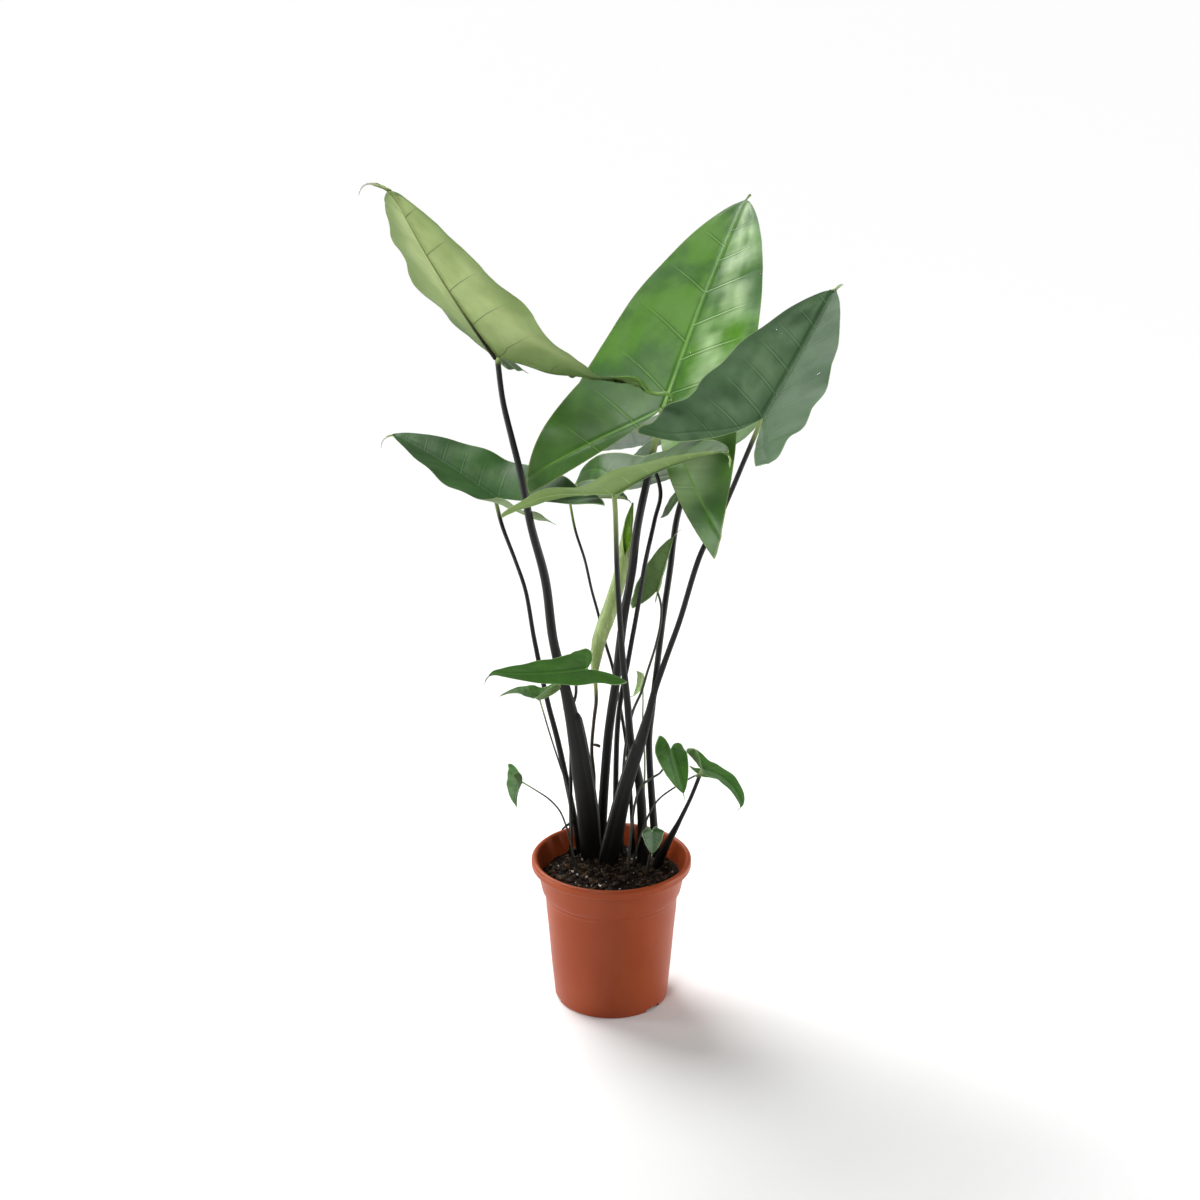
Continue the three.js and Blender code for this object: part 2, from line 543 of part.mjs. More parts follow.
LEAVES.forEach((leaf) => {
  const { blade, stalk } = leafPieces(leaf);
  const carrier = leaf.name === 'left' ? stalk.add(sweep([STUB.from, STUB.to], 6, 2, 1, 0)) : stalk;
  plant.add(piece(`blade_${leaf.name}`, blade, BLADE_COLOUR));
  plant.add(piece(`stalk_${leaf.name}`, carrier, STALK_COLOUR));
  holes.push(stalkSolid(leaf, GAP));
});

const newStalk = {
  joint: NEW_LEAF.stalk[0].slice(0, 3), stalk: NEW_LEAF.stalk.slice(1), base: NEW_LEAF.base, sides: 6, flat: 1,
};
plant.add(piece('blade_new_leaf', sweep(NEW_LEAF.spindle, 10, 14, 1, 0), NEW_LEAF_COLOUR));
plant.add(piece('stalk_new_leaf', stalkSolid(newStalk, 0), STALK_COLOUR));
holes.push(stalkSolid(newStalk, GAP));

plant.add(piece('soil', soilSolid(holes), SOIL_COLOUR));
plant.add(piece('pot', potSolid(), POT_COLOUR));

export default plant;
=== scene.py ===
import logging
import math
import random
from dataclasses import dataclass, field
from enum import Enum, IntEnum
from typing import NamedTuple

import bmesh
import bpy
from mathutils import Matrix, Vector, noise


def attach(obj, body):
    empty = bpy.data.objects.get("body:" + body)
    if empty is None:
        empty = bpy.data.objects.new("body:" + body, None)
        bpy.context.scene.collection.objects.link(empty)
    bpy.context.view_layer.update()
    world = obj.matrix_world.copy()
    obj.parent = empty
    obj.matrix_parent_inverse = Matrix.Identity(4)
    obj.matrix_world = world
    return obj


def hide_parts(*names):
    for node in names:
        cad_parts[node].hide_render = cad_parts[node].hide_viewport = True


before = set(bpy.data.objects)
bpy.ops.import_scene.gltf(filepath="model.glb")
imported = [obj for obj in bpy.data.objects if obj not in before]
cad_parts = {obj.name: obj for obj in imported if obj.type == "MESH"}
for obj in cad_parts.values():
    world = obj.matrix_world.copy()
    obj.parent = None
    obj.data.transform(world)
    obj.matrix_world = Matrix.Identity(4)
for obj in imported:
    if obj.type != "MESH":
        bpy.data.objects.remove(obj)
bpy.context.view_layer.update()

log = logging.getLogger("alocasia")

MM = 0.001
BODY = "root"

# The leaf outline's own shares, the same as in the source
LOBE_SHARE = 0.36
TAIL_SHARE = 0.08
BODY_SHARE = 0.93
WAVE_SHARE = 0.03
WAVE_COUNT = 3
SIDE_SHIFT = 1.3
CURL_START = 0.86
BLADE_THICKNESS = 0.9

SOIL_LEVEL = 172.0
STALK_DEPTH = 45.0

# The half width of the blade that the relief's sizes are given for
RELIEF_HALF = 116.0


class Slot(str, Enum):
    """The record's material slots."""

    POT = "pot_plastic"
    MIX = "potting_mix"
    STALK = "leaf_stalk"
    BLADE = "leaf_blade"
    ROLLED = "rolled_leaf"


class Look(Enum):
    """The leaf finishes, by age, and as lit and shaded copies that paint in the light and shade that falls
    on each leaf.
    """

    BRIGHT = "bright"
    GREY = "grey"
    DEEP = "deep_shade"
    OLIVE = "olive"
    FRONT = "front"
    PALE = "pale"
    YOUNG = "young"


class Skin(Enum):
    """The finishes of stalks, ribs and other thin parts."""

    DARK = "dark"
    FINE = "fine"
    BROWN = "brown"
    PALE = "pale"
    GREEN_RIB = "green_rib"
    DEEP_RIB = "deep_rib"
    BROWN_RIB = "brown_rib"
    DRY = "dry"
    EDGE = "edge"


class BladePart(IntEnum):
    """The material slots of a blade's mesh."""

    UPPER = 0
    LOWER = 1
    RIB = 2
    TIP = 3
    ROLL = 4
    WATER = 5


Numbers = tuple[float, ...]


def linear(text: str) -> tuple[float, float, float, float]:
    """Turns a hex colour into scene-linear red, green, blue and alpha.

    Args:
        text: Six hex digits.

    Returns:
        The colour with an alpha of 1.
    """
    parts = [int(text[at:at + 2], 16) / 255 for at in (0, 2, 4)]
    red, green, blue = (part / 12.92 if part <= 0.04045 else ((part + 0.055) / 1.055) ** 2.4
                        for part in parts)
    return (red, green, blue, 1.0)


def clamp(value: float, low: float = 0.0, high: float = 1.0) -> float:
    """Keeps a value between two limits."""
    return min(high, max(low, value))


def smoothstep(value: float, low: float, high: float) -> float:
    """Eases from 0 at low to 1 at high."""
    share = clamp((value - low) / (high - low))
    return share * share * (3 - 2 * share)


def mix(first: float, second: float, share: float) -> float:
    """Blends two numbers."""
    return first + (second - first) * share


class Value:
    """One shader socket; arithmetic on it adds Math nodes to its finish."""

    def __init__(self, recipe: "Recipe", socket: bpy.types.NodeSocket) -> None:
        """Keeps the socket and the recipe that owns it."""
        self.recipe = recipe
        self.socket = socket

    def _math(self, operation: str, *others: object, swapped: bool = False) -> "Value":
        """Adds one Math node.

        Args:
            operation: The Math node's operation.
            others: Its further inputs.
            swapped: Whether this value is the second input.

        Returns:
            The node's result.
        """
        values = [*others, self] if swapped else [self, *others]
        return self.recipe.node("ShaderNodeMath", {"operation": operation}, dict(enumerate(values)))

    def __add__(self, other: object) -> "Value":
        """Adds."""
        return self._math("ADD", other)

    def __radd__(self, other: object) -> "Value":
        """Adds, reflected."""
        return self._math("ADD", other)

    def __sub__(self, other: object) -> "Value":
        """Subtracts."""
        return self._math("SUBTRACT", other)

    def __rsub__(self, other: object) -> "Value":
        """Subtracts, reflected."""
        return self._math("SUBTRACT", other, swapped=True)

    def __mul__(self, other: object) -> "Value":
        """Multiplies."""
        return self._math("MULTIPLY", other)

    def __rmul__(self, other: object) -> "Value":
        """Multiplies, reflected."""
        return self._math("MULTIPLY", other)

    def __truediv__(self, other: object) -> "Value":
        """Divides."""
        return self._math("DIVIDE", other)

    def __abs__(self) -> "Value":
        """Takes the size without the sign."""
        return self._math("ABSOLUTE")

    def fraction(self) -> "Value":
        """Keeps the part after the point."""
        return self._math("FRACT")

    def at_most(self, other: object) -> "Value":
        """Takes the smaller of two."""
        return self._math("MINIMUM", other)

    def at_least(self, other: object) -> "Value":
        """Takes the larger of two."""
        return self._math("MAXIMUM", other)

    def eased(self, low: float, high: float) -> "Value":
        """Goes smoothly from 0 at low to 1 at high, or back where low is the larger."""
        return self.recipe.node("ShaderNodeMapRange", {"interpolation_type": "SMOOTHSTEP"},
                                {0: self, 1: low, 2: high})


class Recipe:
    """Builds one finish's nodes round its Principled shader."""

    def __init__(self, name: str, **fixed: object) -> None:
        """Starts a material and sets the shader's fixed sockets.

        Args:
            name: The material's name.
            fixed: Values for the shader's sockets, with _ for a space.
        """
        self.material = bpy.data.materials.new(name)
        self.material.use_nodes = True
        self.tree = self.material.node_tree
        self.shader = self.tree.nodes["Principled BSDF"]
        for key, value in fixed.items():
            self.shader.inputs[key.replace("_", " ")].default_value = value

    def node(self, kind: str, settings: dict[str, object] | None = None,
             inputs: dict[object, object] | None = None, output: object = 0) -> Value:
        """Adds one node.

        Args:
            kind: The node's type.
            settings: Its own settings, set first.
            inputs: Values or links for its sockets, by name or number.
            output: The wanted output's name or number.

        Returns:
            The output as a value.
        """
        made = self.tree.nodes.new(kind)
        for key, value in (settings or {}).items():
            setattr(made, key, value)
        for key, value in (inputs or {}).items():
            self._feed(made.inputs[key], value)
        return Value(self, made.outputs[output])

    def _feed(self, socket: bpy.types.NodeSocket, value: object) -> None:
        """Links a value to a socket, or sets its number.

        Args:
            socket: The socket.
            value: A linked value, a number or a tuple of numbers.
        """
        if isinstance(value, Value):
            self.tree.links.new(value.socket, socket)
        else:
            socket.default_value = value

    def feed(self, **sockets: object) -> bpy.types.Material:
        """Links values to the shader's own sockets.

        Args:
            sockets: Values by socket name, with _ for a space.

        Returns:
            The finished material.
        """
        for key, value in sockets.items():
            self._feed(self.shader.inputs[key.replace("_", " ")], value)
        return self.material

    def blend(self, share: object, first: object, second: object) -> Value:
        """Mixes two colours.

        Args:
            share: How much of the second.
            first: The colour at 0.
            second: The colour at 1.

        Returns:
            The mixed colour.
        """
        return self.node("ShaderNodeMix", {"data_type": "RGBA", "clamp_factor": True},
                         {0: share, 6: first, 7: second}, 2)

    def grain(self, where: Value, scale: float, detail: float = 3.0, rough: float = 0.5) -> Value:
        """Makes noise between about 0 and 1.

        Args:
            where: The coordinates.
            scale: Features per unit of the coordinates.
            detail: How many octaves.
            rough: How strong the finer octaves are.

        Returns:
            The noise value.
        """
        return self.node("ShaderNodeTexNoise", None,
                         {"Vector": where, "Scale": scale, "Detail": detail, "Roughness": rough})

    def place(self) -> Value:
        """Gives the Object coordinates, in metres."""
        return self.node("ShaderNodeTexCoord", None, None, "Object")

    def stretched(self, where: Value, scale: Numbers) -> Value:
        """Scales coordinates along each axis."""
        return self.node("ShaderNodeMapping", None, {"Vector": where, "Scale": scale})

    def parts(self, name: str) -> tuple[Value, Value, Value]:
        """Reads a vector attribute.

        Args:
            name: The attribute's name.

        Returns:
            Its three numbers.
        """
        read = self.node("ShaderNodeAttribute", {"attribute_name": name}, None, "Vector")
        split = self.node("ShaderNodeSeparateXYZ", None, {0: read})
        return tuple(Value(self, socket) for socket in split.socket.node.outputs)

    def joined(self, x: object, y: object, z: object) -> Value:
        """Makes a vector of three numbers."""
        return self.node("ShaderNodeCombineXYZ", None, {0: x, 1: y, 2: z})

    def bump(self, height: Value, distance: float, strength: float = 1.0) -> Value:
        """Turns a height into a normal.

        Args:
            height: The height, about 0 to 1.
            distance: What a height of 1 stands for, in metres.
            strength: How much of it shows.

        Returns:
            The normal.
        """
        return self.node("ShaderNodeBump", None,
                         {"Strength": strength, "Distance": distance, "Height": height})


class VeinLines(NamedTuple):
    """Where a blade's veins run, as masks between 0 and 1, with masks of painted shadow and painted shade
    and the vein pattern's own coordinates.
    """

    sides: Value
    vein_shadow: Value
    ribs: Value
    shade: Value
    margin: Value
    phase: Value
    out: Value
    side: Value
    lobe: Value


@dataclass(frozen=True)
class BladeFinish:
    """The two faces of a leaf blade: their colours with painted sheen, shade and shadow, roughness, shine
    and how strongly they are veined.
    """

    name: str
    upper: str
    upper_shade: str
    vein: str
    rib: str
    # Colour of painted shade on the lobes and of painted shadow lines beside the veins
    deep_shade: str
    # Colour of the painted sheen band on the upper face
    painted_sheen: str
    under: str
    under_shade: str
    under_vein: str
    # Colour of painted shade on the lower face; the front leaf's is paler
    under_painted_tone: str
    margin: str
    rough: float = 0.5
    shine: float = 0.28
    lateral: float = 0.25
    # How strongly the lobes get painted shade
    lobe_shade: float = 0.15
    sheen: float = 0.15
    sheen_side: int = 1

    def _lines(self, paint: Recipe) -> VeinLines:
        """Draws the veins, the painted shadow lines beside them and the painted shade on the lobes from the
        blade's attributes.

        Args:
            paint: The finish that is being made.

        Returns:
            The masks.
        """
        across, ahead, side = paint.parts("flat")
        phase, costa, spacing = paint.parts("vein")
        reach = paint.node("ShaderNodeAttribute", {"attribute_name": "reach"}, None, "Fac")
        out = abs(side)
        share = ahead.at_least(0)
        away = abs((phase + 0.5).fraction() - 0.5) * spacing
        sides = (1 - (away / (1.35 - 0.8 * out)).at_most(1)) * out.eased(0.92, 0.5)
        # Painted shadow: a dark line at each side of every side vein
        vein_shadow = (1 - (abs(away - 2.3) / 1.7).at_most(1)) * out.eased(0.8, 0.3)
        costas = (1 - (abs(costa) / 1.7).at_most(1)) * out.eased(1.0, 0.75)
        rib = 1 - (abs(across) / (3.1 - 2.6 * share)).at_most(1)
        # Painted shadow: a dark line at each side of the midrib
        shade = 1 - (abs(abs(across) - 4.2) / (2.6 - 1.8 * share)).at_most(1)
        # The last mask is painted shade, from a third of the way up the blade down into the lobes
        return VeinLines(sides, vein_shadow, rib.at_least(costas), shade, reach.eased(1.7, 0.5), phase, out, side,
                         ahead.eased(0.32, -0.15) * self.lobe_shade)

    def top(self) -> bpy.types.Material:
        """Makes the upper face: waxy green, puckered along its side veins, with a painted sheen band,
        painted shade on the lobes and painted shadow lines beside the veins.

        Returns:
            The material.
        """
        paint = Recipe(f"{self.name}_upper", Specular_IOR_Level=self.shine)
        where = paint.place()
        lines = self._lines(paint)
        patches = paint.grain(where, 14.0, 5.0, 0.6)
        fine = paint.grain(where, 260.0, 3.0)
        pucker = paint.grain(paint.joined(lines.phase * 6, lines.out * 2.6, 0.0), 1.0, 3.0, 0.55)
        clouds = paint.grain(paint.joined(lines.phase * 0.9, lines.side * 2.4, 0.0), 1.0, 2.0, 0.4)
        ground = paint.blend(patches.eased(0.36, 0.64), linear(self.upper), linear(self.upper_shade))
        # Painted shade on the lobes
        shaded_ground = paint.blend(lines.lobe, ground, linear(self.deep_shade))
        # Painted sheen: a pale band over one half of the blade, broken up by clouds and puckers
        outward = lines.side * self.sheen_side
        sheen_band = (outward.eased(0.0, 0.3) * outward.eased(1.0, 0.5)).at_least(0.1)
        painted_sheen = sheen_band * clouds.eased(0.3, 0.7) * (pucker * 0.5 + 0.6) * self.sheen
        sheened = paint.blend(painted_sheen, shaded_ground, linear(self.painted_sheen))
        # Painted shadow lines beside the side veins and the midrib
        painted_shadow_lines = (lines.vein_shadow * self.lateral).at_least(lines.shade * 0.6)
        shaded = paint.blend(painted_shadow_lines, sheened, linear(self.deep_shade))
        veined = paint.blend(lines.sides * self.lateral, shaded, linear(self.vein))
        ribbed = paint.blend(lines.ribs * 0.85, veined, linear(self.rib))
        edged = paint.blend(lines.margin * 0.8, ribbed, linear(self.margin))
        laterals = (lines.sides * 0.8 - lines.vein_shadow * 0.4) * self.lateral
        height = pucker * 0.5 + laterals + lines.ribs * 0.4 + fine * 0.06
        return paint.feed(Base_Color=edged, Roughness=self.rough + patches * 0.14 - 0.07,
                          Normal=paint.bump(height, 0.0012, 0.45))

    def below(self) -> bpy.types.Material:
        """Makes the lower face: matt and paler, with raised veins that fade towards the margin, and painted
        shade on its right half, its outer parts and its lobes.

        Returns:
            The material.
        """
        paint = Recipe(f"{self.name}_under", Specular_IOR_Level=0.25)
        where = paint.place()
        lines = self._lines(paint)
        patches = paint.grain(where, 16.0, 4.0)
        pucker = paint.grain(paint.joined(lines.phase * 9, lines.out * 2.2, 0.0), 1.0, 2.0)
        ground = paint.blend(patches.eased(0.36, 0.66), linear(self.under), linear(self.under_shade))
        # Painted shade: the right half from a quarter of the way out, the outer parts and the lobes blend
        # towards a darker colour, a paler one on the front leaf
        painted_tone_mask = (lines.side.eased(0.25, 1.0) * 0.6).at_least(lines.out.eased(0.5, 1.0) * 0.5)
        shaded_ground = paint.blend(painted_tone_mask.at_least(lines.lobe), ground, linear(self.under_painted_tone))
        edged = paint.blend(lines.margin * 0.6, shaded_ground, linear(self.margin))
        fading = lines.sides * lines.out.eased(0.95, 0.1)
        veined = paint.blend((fading * 0.85).at_least(lines.ribs * 0.8), edged, linear(self.under_vein))
        height = pucker * 0.3 + lines.sides * 0.8 + lines.ribs
        return paint.feed(Base_Color=veined, Roughness=self.rough + 0.12 + patches * 0.1,
                          Normal=paint.bump(height, 0.0009, 0.5))


FINISHES = {
    Look.BRIGHT: BladeFinish(
        "bright_leaf",
        upper="41700d", upper_shade="225006", vein="6f9c48", rib="5f8c34", deep_shade="1c3f07",
        painted_sheen="a9c192", under="86a054", under_shade="728c42", under_vein="5d7a34", under_painted_tone="5d7a34",
        margin="6c7a3a", rough=0.44, shine=0.28, lateral=0.6, lobe_shade=0.5, sheen=0.7),
    Look.GREY: BladeFinish(
        "grey_leaf",
        # The grey leaf's rib colour is darker than its blade: painted shade in the midrib's groove
        upper="314f2b", upper_shade="254122", vein="5b7a4c", rib="23421f", deep_shade="16300f",
        painted_sheen="7f9b74", under="8a9f6e", under_shade="788f5c", under_vein="5c7547", under_painted_tone="6d8258",
        margin="73865c", rough=0.55, lateral=0.45, lobe_shade=0.0, sheen=0.25, sheen_side=-1),
    Look.DEEP: BladeFinish(
        "deep_leaf",
        upper="2e5421", upper_shade="204215", vein="44703a", rib="29501f", deep_shade="16300f",
        painted_sheen="7f9c6d", under="74895a", under_shade="627646", under_vein="4f6335", under_painted_tone="5f7548",
        margin="8a9c70"),
    Look.OLIVE: BladeFinish(
        "olive_leaf",
        upper="557b3c", upper_shade="44692f", vein="7c9c5a", rib="6c8c48", deep_shade="2d4b1c",
        painted_sheen="98ae80", under="8d9d63", under_shade="788b4e", under_vein="3d3f1e", under_painted_tone="405c1e",
        margin="6d7f44", lobe_shade=0.95),
    Look.FRONT: BladeFinish(
        "front_leaf",
        upper="345223", upper_shade="29451c", vein="688a48", rib="456a30", deep_shade="1f3915",
        painted_sheen="94aa7c", under="6c8646", under_shade="587236", under_vein="88a060", under_painted_tone="7d9556",
        margin="94a970", lateral=0.5),
    Look.PALE: BladeFinish(
        "pale_leaf",
        upper="7a9455", upper_shade="66804a", vein="93ab6c", rib="93ab6c", deep_shade="4a6230",
        painted_sheen="a9bb8a", under="869c5c", under_shade="74894c", under_vein="9bb070", under_painted_tone="74894c",
        margin="a0b274"),
    Look.YOUNG: BladeFinish(
        "young_leaf",
        upper="38671b", upper_shade="2b5711", vein="487a2a", rib="427024", deep_shade="18350b",
        painted_sheen="7c9a66", under="5f7a44", under_shade="4b6735", under_vein="46602c", under_painted_tone="4b6735",
        margin="9aae80"),
}


@dataclass(frozen=True)
class StalkFinish:
    """A stalk or a rib: satin, faintly streaked along its length, with a fresher top."""

    dark: str
    streak: str
    fresh: str
    shine: float = 0.3

    def make(self, name: str) -> bpy.types.Material:
        """Makes the material; its attribute holds the turn, the distance from the top and the fresh reach.

        Args:
            name: The material's name.

        Returns:
            The material.
        """
        paint = Recipe(name, Specular_IOR_Level=self.shine)
        turn, below, reach = paint.parts("stalk")
        streaks = paint.grain(paint.joined(turn * 9, below * 0.012, 0.0), 1.0, 3.0)
        bands = paint.grain(paint.joined(turn * 1.5, below * 0.09, 3.0), 1.0, 2.0)
        dark = paint.blend(streaks.eased(0.45, 0.8) * 0.7, linear(self.dark), linear(self.streak))
        banded = paint.blend(bands.eased(0.58, 0.74) * 0.35, dark, linear(self.streak))
        fresh = 1 - (below / (reach + 0.01)).eased(0.2, 1.0)
        colour = paint.blend(fresh, banded, linear(self.fresh))
        return paint.feed(Base_Color=colour, Roughness=0.42 + streaks * 0.18,
                          Normal=paint.bump(streaks * 0.6 + bands * 0.4, 0.0004, 0.5))


SKINS = {
    Skin.DARK: StalkFinish("080907", "141511", "7f9052"),
    Skin.FINE: StalkFinish("34362e", "4e5145", "8d9b62"),
    Skin.BROWN: StalkFinish("352c1a", "54462a", "93a05c"),
    Skin.PALE: StalkFinish("707c54", "8f9c6e", "a5b47c"),
    Skin.GREEN_RIB: StalkFinish("507429", "5f8634", "6a9040", 0.4),
    Skin.DEEP_RIB: StalkFinish("41602f", "50703a", "6a8848", 0.4),
    Skin.BROWN_RIB: StalkFinish("8d9a60", "77824c", "1d1911"),
    Skin.DRY: StalkFinish("9c9c90", "b4b3a6", "8da064"),
    Skin.EDGE: StalkFinish("5c5d52", "7c7d6e", "5c5d52"),
}


def water_finish() -> bpy.types.Material:
    """Makes the water drops' material: clear, glossy and faintly uneven.

    Returns:
        The material.
    """
    paint = Recipe("water", Transmission_Weight=0.9, IOR=1.33)
    ripple = paint.grain(paint.place(), 300.0, 2.0)
    colour = paint.blend(ripple, linear("dfe9d8"), linear("ffffff"))
    return paint.feed(Base_Color=colour, Roughness=ripple * 0.06)


@dataclass(frozen=True)
class PotFinish:
    """Terracotta-coloured moulded plastic."""

    body: str = "94401f"
    worn: str = "ae572f"
    scuff: str = "c08468"

    def make(self) -> bpy.types.Material:
        """Makes the pot's material: an even satin orange with faint flow marks and scuffs.

        Returns:
            The material.
        """
        paint = Recipe("pot_shell", Specular_IOR_Level=0.18, Coat_Roughness=0.2, Coat_Weight=0.04)
        where = paint.place()
        clouds = paint.grain(where, 9.0, 3.0)
        flow = paint.grain(paint.stretched(where, (60.0, 60.0, 5.0)), 1.0, 2.0)
        scuffs = paint.grain(paint.stretched(where, (300.0, 300.0, 40.0)), 1.0, 4.0, 0.7).eased(0.62, 0.8)
        worn = paint.blend(clouds.eased(0.35, 0.7) * 0.3 + flow.eased(0.5, 0.8) * 0.12, linear(self.body),
                           linear(self.worn))
        colour = paint.blend(scuffs * 0.1, worn, linear(self.scuff))
        return paint.feed(Base_Color=colour, Roughness=0.36 + clouds * 0.1 + scuffs * 0.12,
                          Normal=paint.bump(flow * 0.7 + scuffs * 0.3, 0.0002, 0.35))


@dataclass(frozen=True)
class MixFinish:
    """One kind of grain in the potting mix."""

    name: str
    dark: str
    light: str
    scale: float
    rough: float = 0.95

    def make(self) -> bpy.types.Material:
        """Makes a crumbly two-tone material.

        Returns:
            The material.
        """
        paint = Recipe(self.name, Specular_IOR_Level=0.25)
        where = paint.place()
        coarse = paint.grain(where, self.scale, 5.0, 0.65)
        fine = paint.grain(where, self.scale * 6, 3.0)
        colour = paint.blend(coarse.eased(0.38, 0.66), linear(self.dark), linear(self.light))
        return paint.feed(Base_Color=colour, Roughness=self.rough - fine * 0.15,
                          Normal=paint.bump(coarse * 0.7 + fine * 0.3, 0.0012, 0.8))


def finished(name: str, body: bmesh.types.BMesh, materials: list[bpy.types.Material],
             nodes: tuple[str, ...] = ()) -> bpy.types.Object:
    """Turns a mesh in millimetres into a piece that rides on the part.

    Args:
        name: The piece's name.
        body: Its mesh, which is freed.
        materials: Its materials, in slot order.
        nodes: The CAD nodes that it stands for.

    Returns:
        The piece.
    """
    bmesh.ops.scale(body, vec=(MM, MM, MM), verts=body.verts)
    for face in body.faces:
        face.smooth = True
    mesh = bpy.data.meshes.new(name)
    body.to_mesh(mesh)
    body.free()
    for material in materials:
        mesh.materials.append(material)
    piece = bpy.data.objects.new(name, mesh)
    bpy.context.scene.collection.objects.link(piece)
    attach(piece, BODY)
    if nodes:
        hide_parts(*nodes)
    log.info("%s: %d faces", name, len(mesh.polygons))
    return piece


def lathe(body: bmesh.types.BMesh, profile: list[tuple[float, float]],
          steps: int) -> list[bmesh.types.BMVert]:
    """Spins a profile of radius and height round Z into a closed shell.

    Args:
        body: The mesh to add to.
        profile: The outline, which starts and ends on the axis.
        steps: How many parts the turn has.

    Returns:
        The new vertices.
    """
    known = set(body.verts)
    rings = [body.verts.new((radius, 0.0, height)) for radius, height in profile]
    edges = [body.edges.new(pair) for pair in zip(rings, rings[1:])]
    bmesh.ops.spin(body, geom=[*rings, *edges], axis=(0, 0, 1), cent=(0, 0, 0), angle=2 * math.pi,
                   steps=steps, use_merge=True)
    fresh = [vert for vert in body.verts if vert not in known]
    bmesh.ops.remove_doubles(body, verts=fresh, dist=1e-5)
    fresh = [vert for vert in body.verts if vert not in known]
    faces = list({face for vert in fresh for face in vert.link_faces})
    bmesh.ops.recalc_face_normals(body, faces=faces)
    return fresh


def route_point(points: list[Vector], share: float) -> Vector:
    """Gives a point of the centripetal curve through a route's points.

    Args:
        points: The route.
        share: 0 at its start and 1 at its end.

    Returns:
        The place, in the route's units.
    """
    last = len(points) - 1
    at = min(int(share * last), last - 1)
    weight = share * last - at
    start, end = points[at], points[at + 1]
    before = points[at - 1] if at > 0 else start * 2 - end
    after = points[at + 2] if at + 2 <= last else end * 2 - start
    pairs = ((before, start), (start, end), (end, after))
    first, middle, third = ((near - far).length ** 0.5 for near, far in pairs)
    leave = (start - before) / first - (end - before) / (first + middle) + (end - start) / middle
    arrive = (end - start) / middle - (after - start) / (middle + third) + (after - end) / third
    leave, arrive = leave * middle, arrive * middle
    square, cube = weight ** 2, weight ** 3
    return (start * (2 * cube - 3 * square + 1) + leave * (cube - 2 * square + weight)
            + end * (3 * square - 2 * cube) + arrive * (cube - square))


@dataclass
class Route:
    """A round bar's way: places with a half width at each, and a section that flattens towards the foot."""

    points: list[tuple[float, float, float, float]]
    flat: float = 1.0

    def length(self) -> float:
        """Adds up the straight lengths between the points."""
        return sum((Vector(a[:3]) - Vector(b[:3])).length for a, b in zip(self.points, self.points[1:]))

    def ring(self, share: float) -> tuple[Vector, Vector, Vector, float, float]:
        """Gives the section at a share of the way.

        Args:
            share: 0 at the start and 1 at the end.

        Returns:
            The centre, the two directions across, the half width and the half depth.
        """
        places = [Vector(point[:3]) for point in self.points]
        last = len(places) - 1
        low, high = clamp(share - 0.002), clamp(share + 0.002)
        centre = route_point(places, clamp(share))
        along = (route_point(places, high) - route_point(places, low)).normalized()
        across = (Vector((1, 0, 0)) - along * along.x).normalized()
        away = across.cross(along)
        at = min(int(clamp(share) * last), last - 1)
        width = mix(self.points[at][3], self.points[at + 1][3], clamp(share) * last - at)
        return centre, across, away, width, width * mix(1.0, self.flat, clamp(share))


def tube(body: bmesh.types.BMesh, route: Route, sides: int, steps: int,
         span: tuple[float, float] = (0.0, 1.0), fresh_reach: float = 0.0, slot_index: int = 0,
         rounded: float = 0.0) -> None:
    """Carries a lathe of unit height along a route.

    Args:
        body: The mesh to add to.
        route: The way.
        sides: Sides of its section.
        steps: Rings along it.
        span: The shares where it starts and ends.
        fresh_reach: How far down from the top it is fresh, in millimetres.
        slot_index: Its material's number.
        rounded: How far the start's rounding reaches, as a share of the way.
    """
    layer = body.verts.layers.float_vector.get("stalk") or body.verts.layers.float_vector.new("stalk")
    profile = [(0.0, 0.0), *((1.0, step / steps) for step in range(steps + 1)), (0.0, 1.0)]
    fresh = lathe(body, profile, sides)
    length = route.length()
    rings: dict[int, tuple] = {}
    for vert in fresh:
        step = round(vert.co.z * steps)
        share = mix(span[0], span[1], step / steps)
        if step not in rings:
            rings[step] = route.ring(share)
        centre, across, away, width, depth = rings[step]
        turn = math.atan2(vert.co.y, vert.co.x)
        narrow = math.sqrt(clamp((share - span[0]) / rounded)) if rounded else 1.0
        spot = Vector((math.cos(turn) * 1.3, math.sin(turn) * 1.3, share * length * 0.03))
        swell = narrow * (1 + 0.035 * noise.noise(spot))
        vert[layer] = (turn, share * length, fresh_reach)
        vert.co = centre + across * vert.co.x * width * swell + away * vert.co.y * depth * swell
    faces = list({face for vert in fresh for face in vert.link_faces})
    for face in faces:
        face.material_index = slot_index
    bmesh.ops.recalc_face_normals(body, faces=faces)


def foot(base: Numbers) -> tuple[Numbers, Numbers]:
    """Gives the end of a stalk's way, which stands upright in the potting mix.

    Args:
        base: The place across and along, and the half width.

    Returns:
        The points at the mix's level and at the stalk's end.
    """
    x, y, width = base
    return (x, y, SOIL_LEVEL, width), (x, y, SOIL_LEVEL - STALK_DEPTH, width)


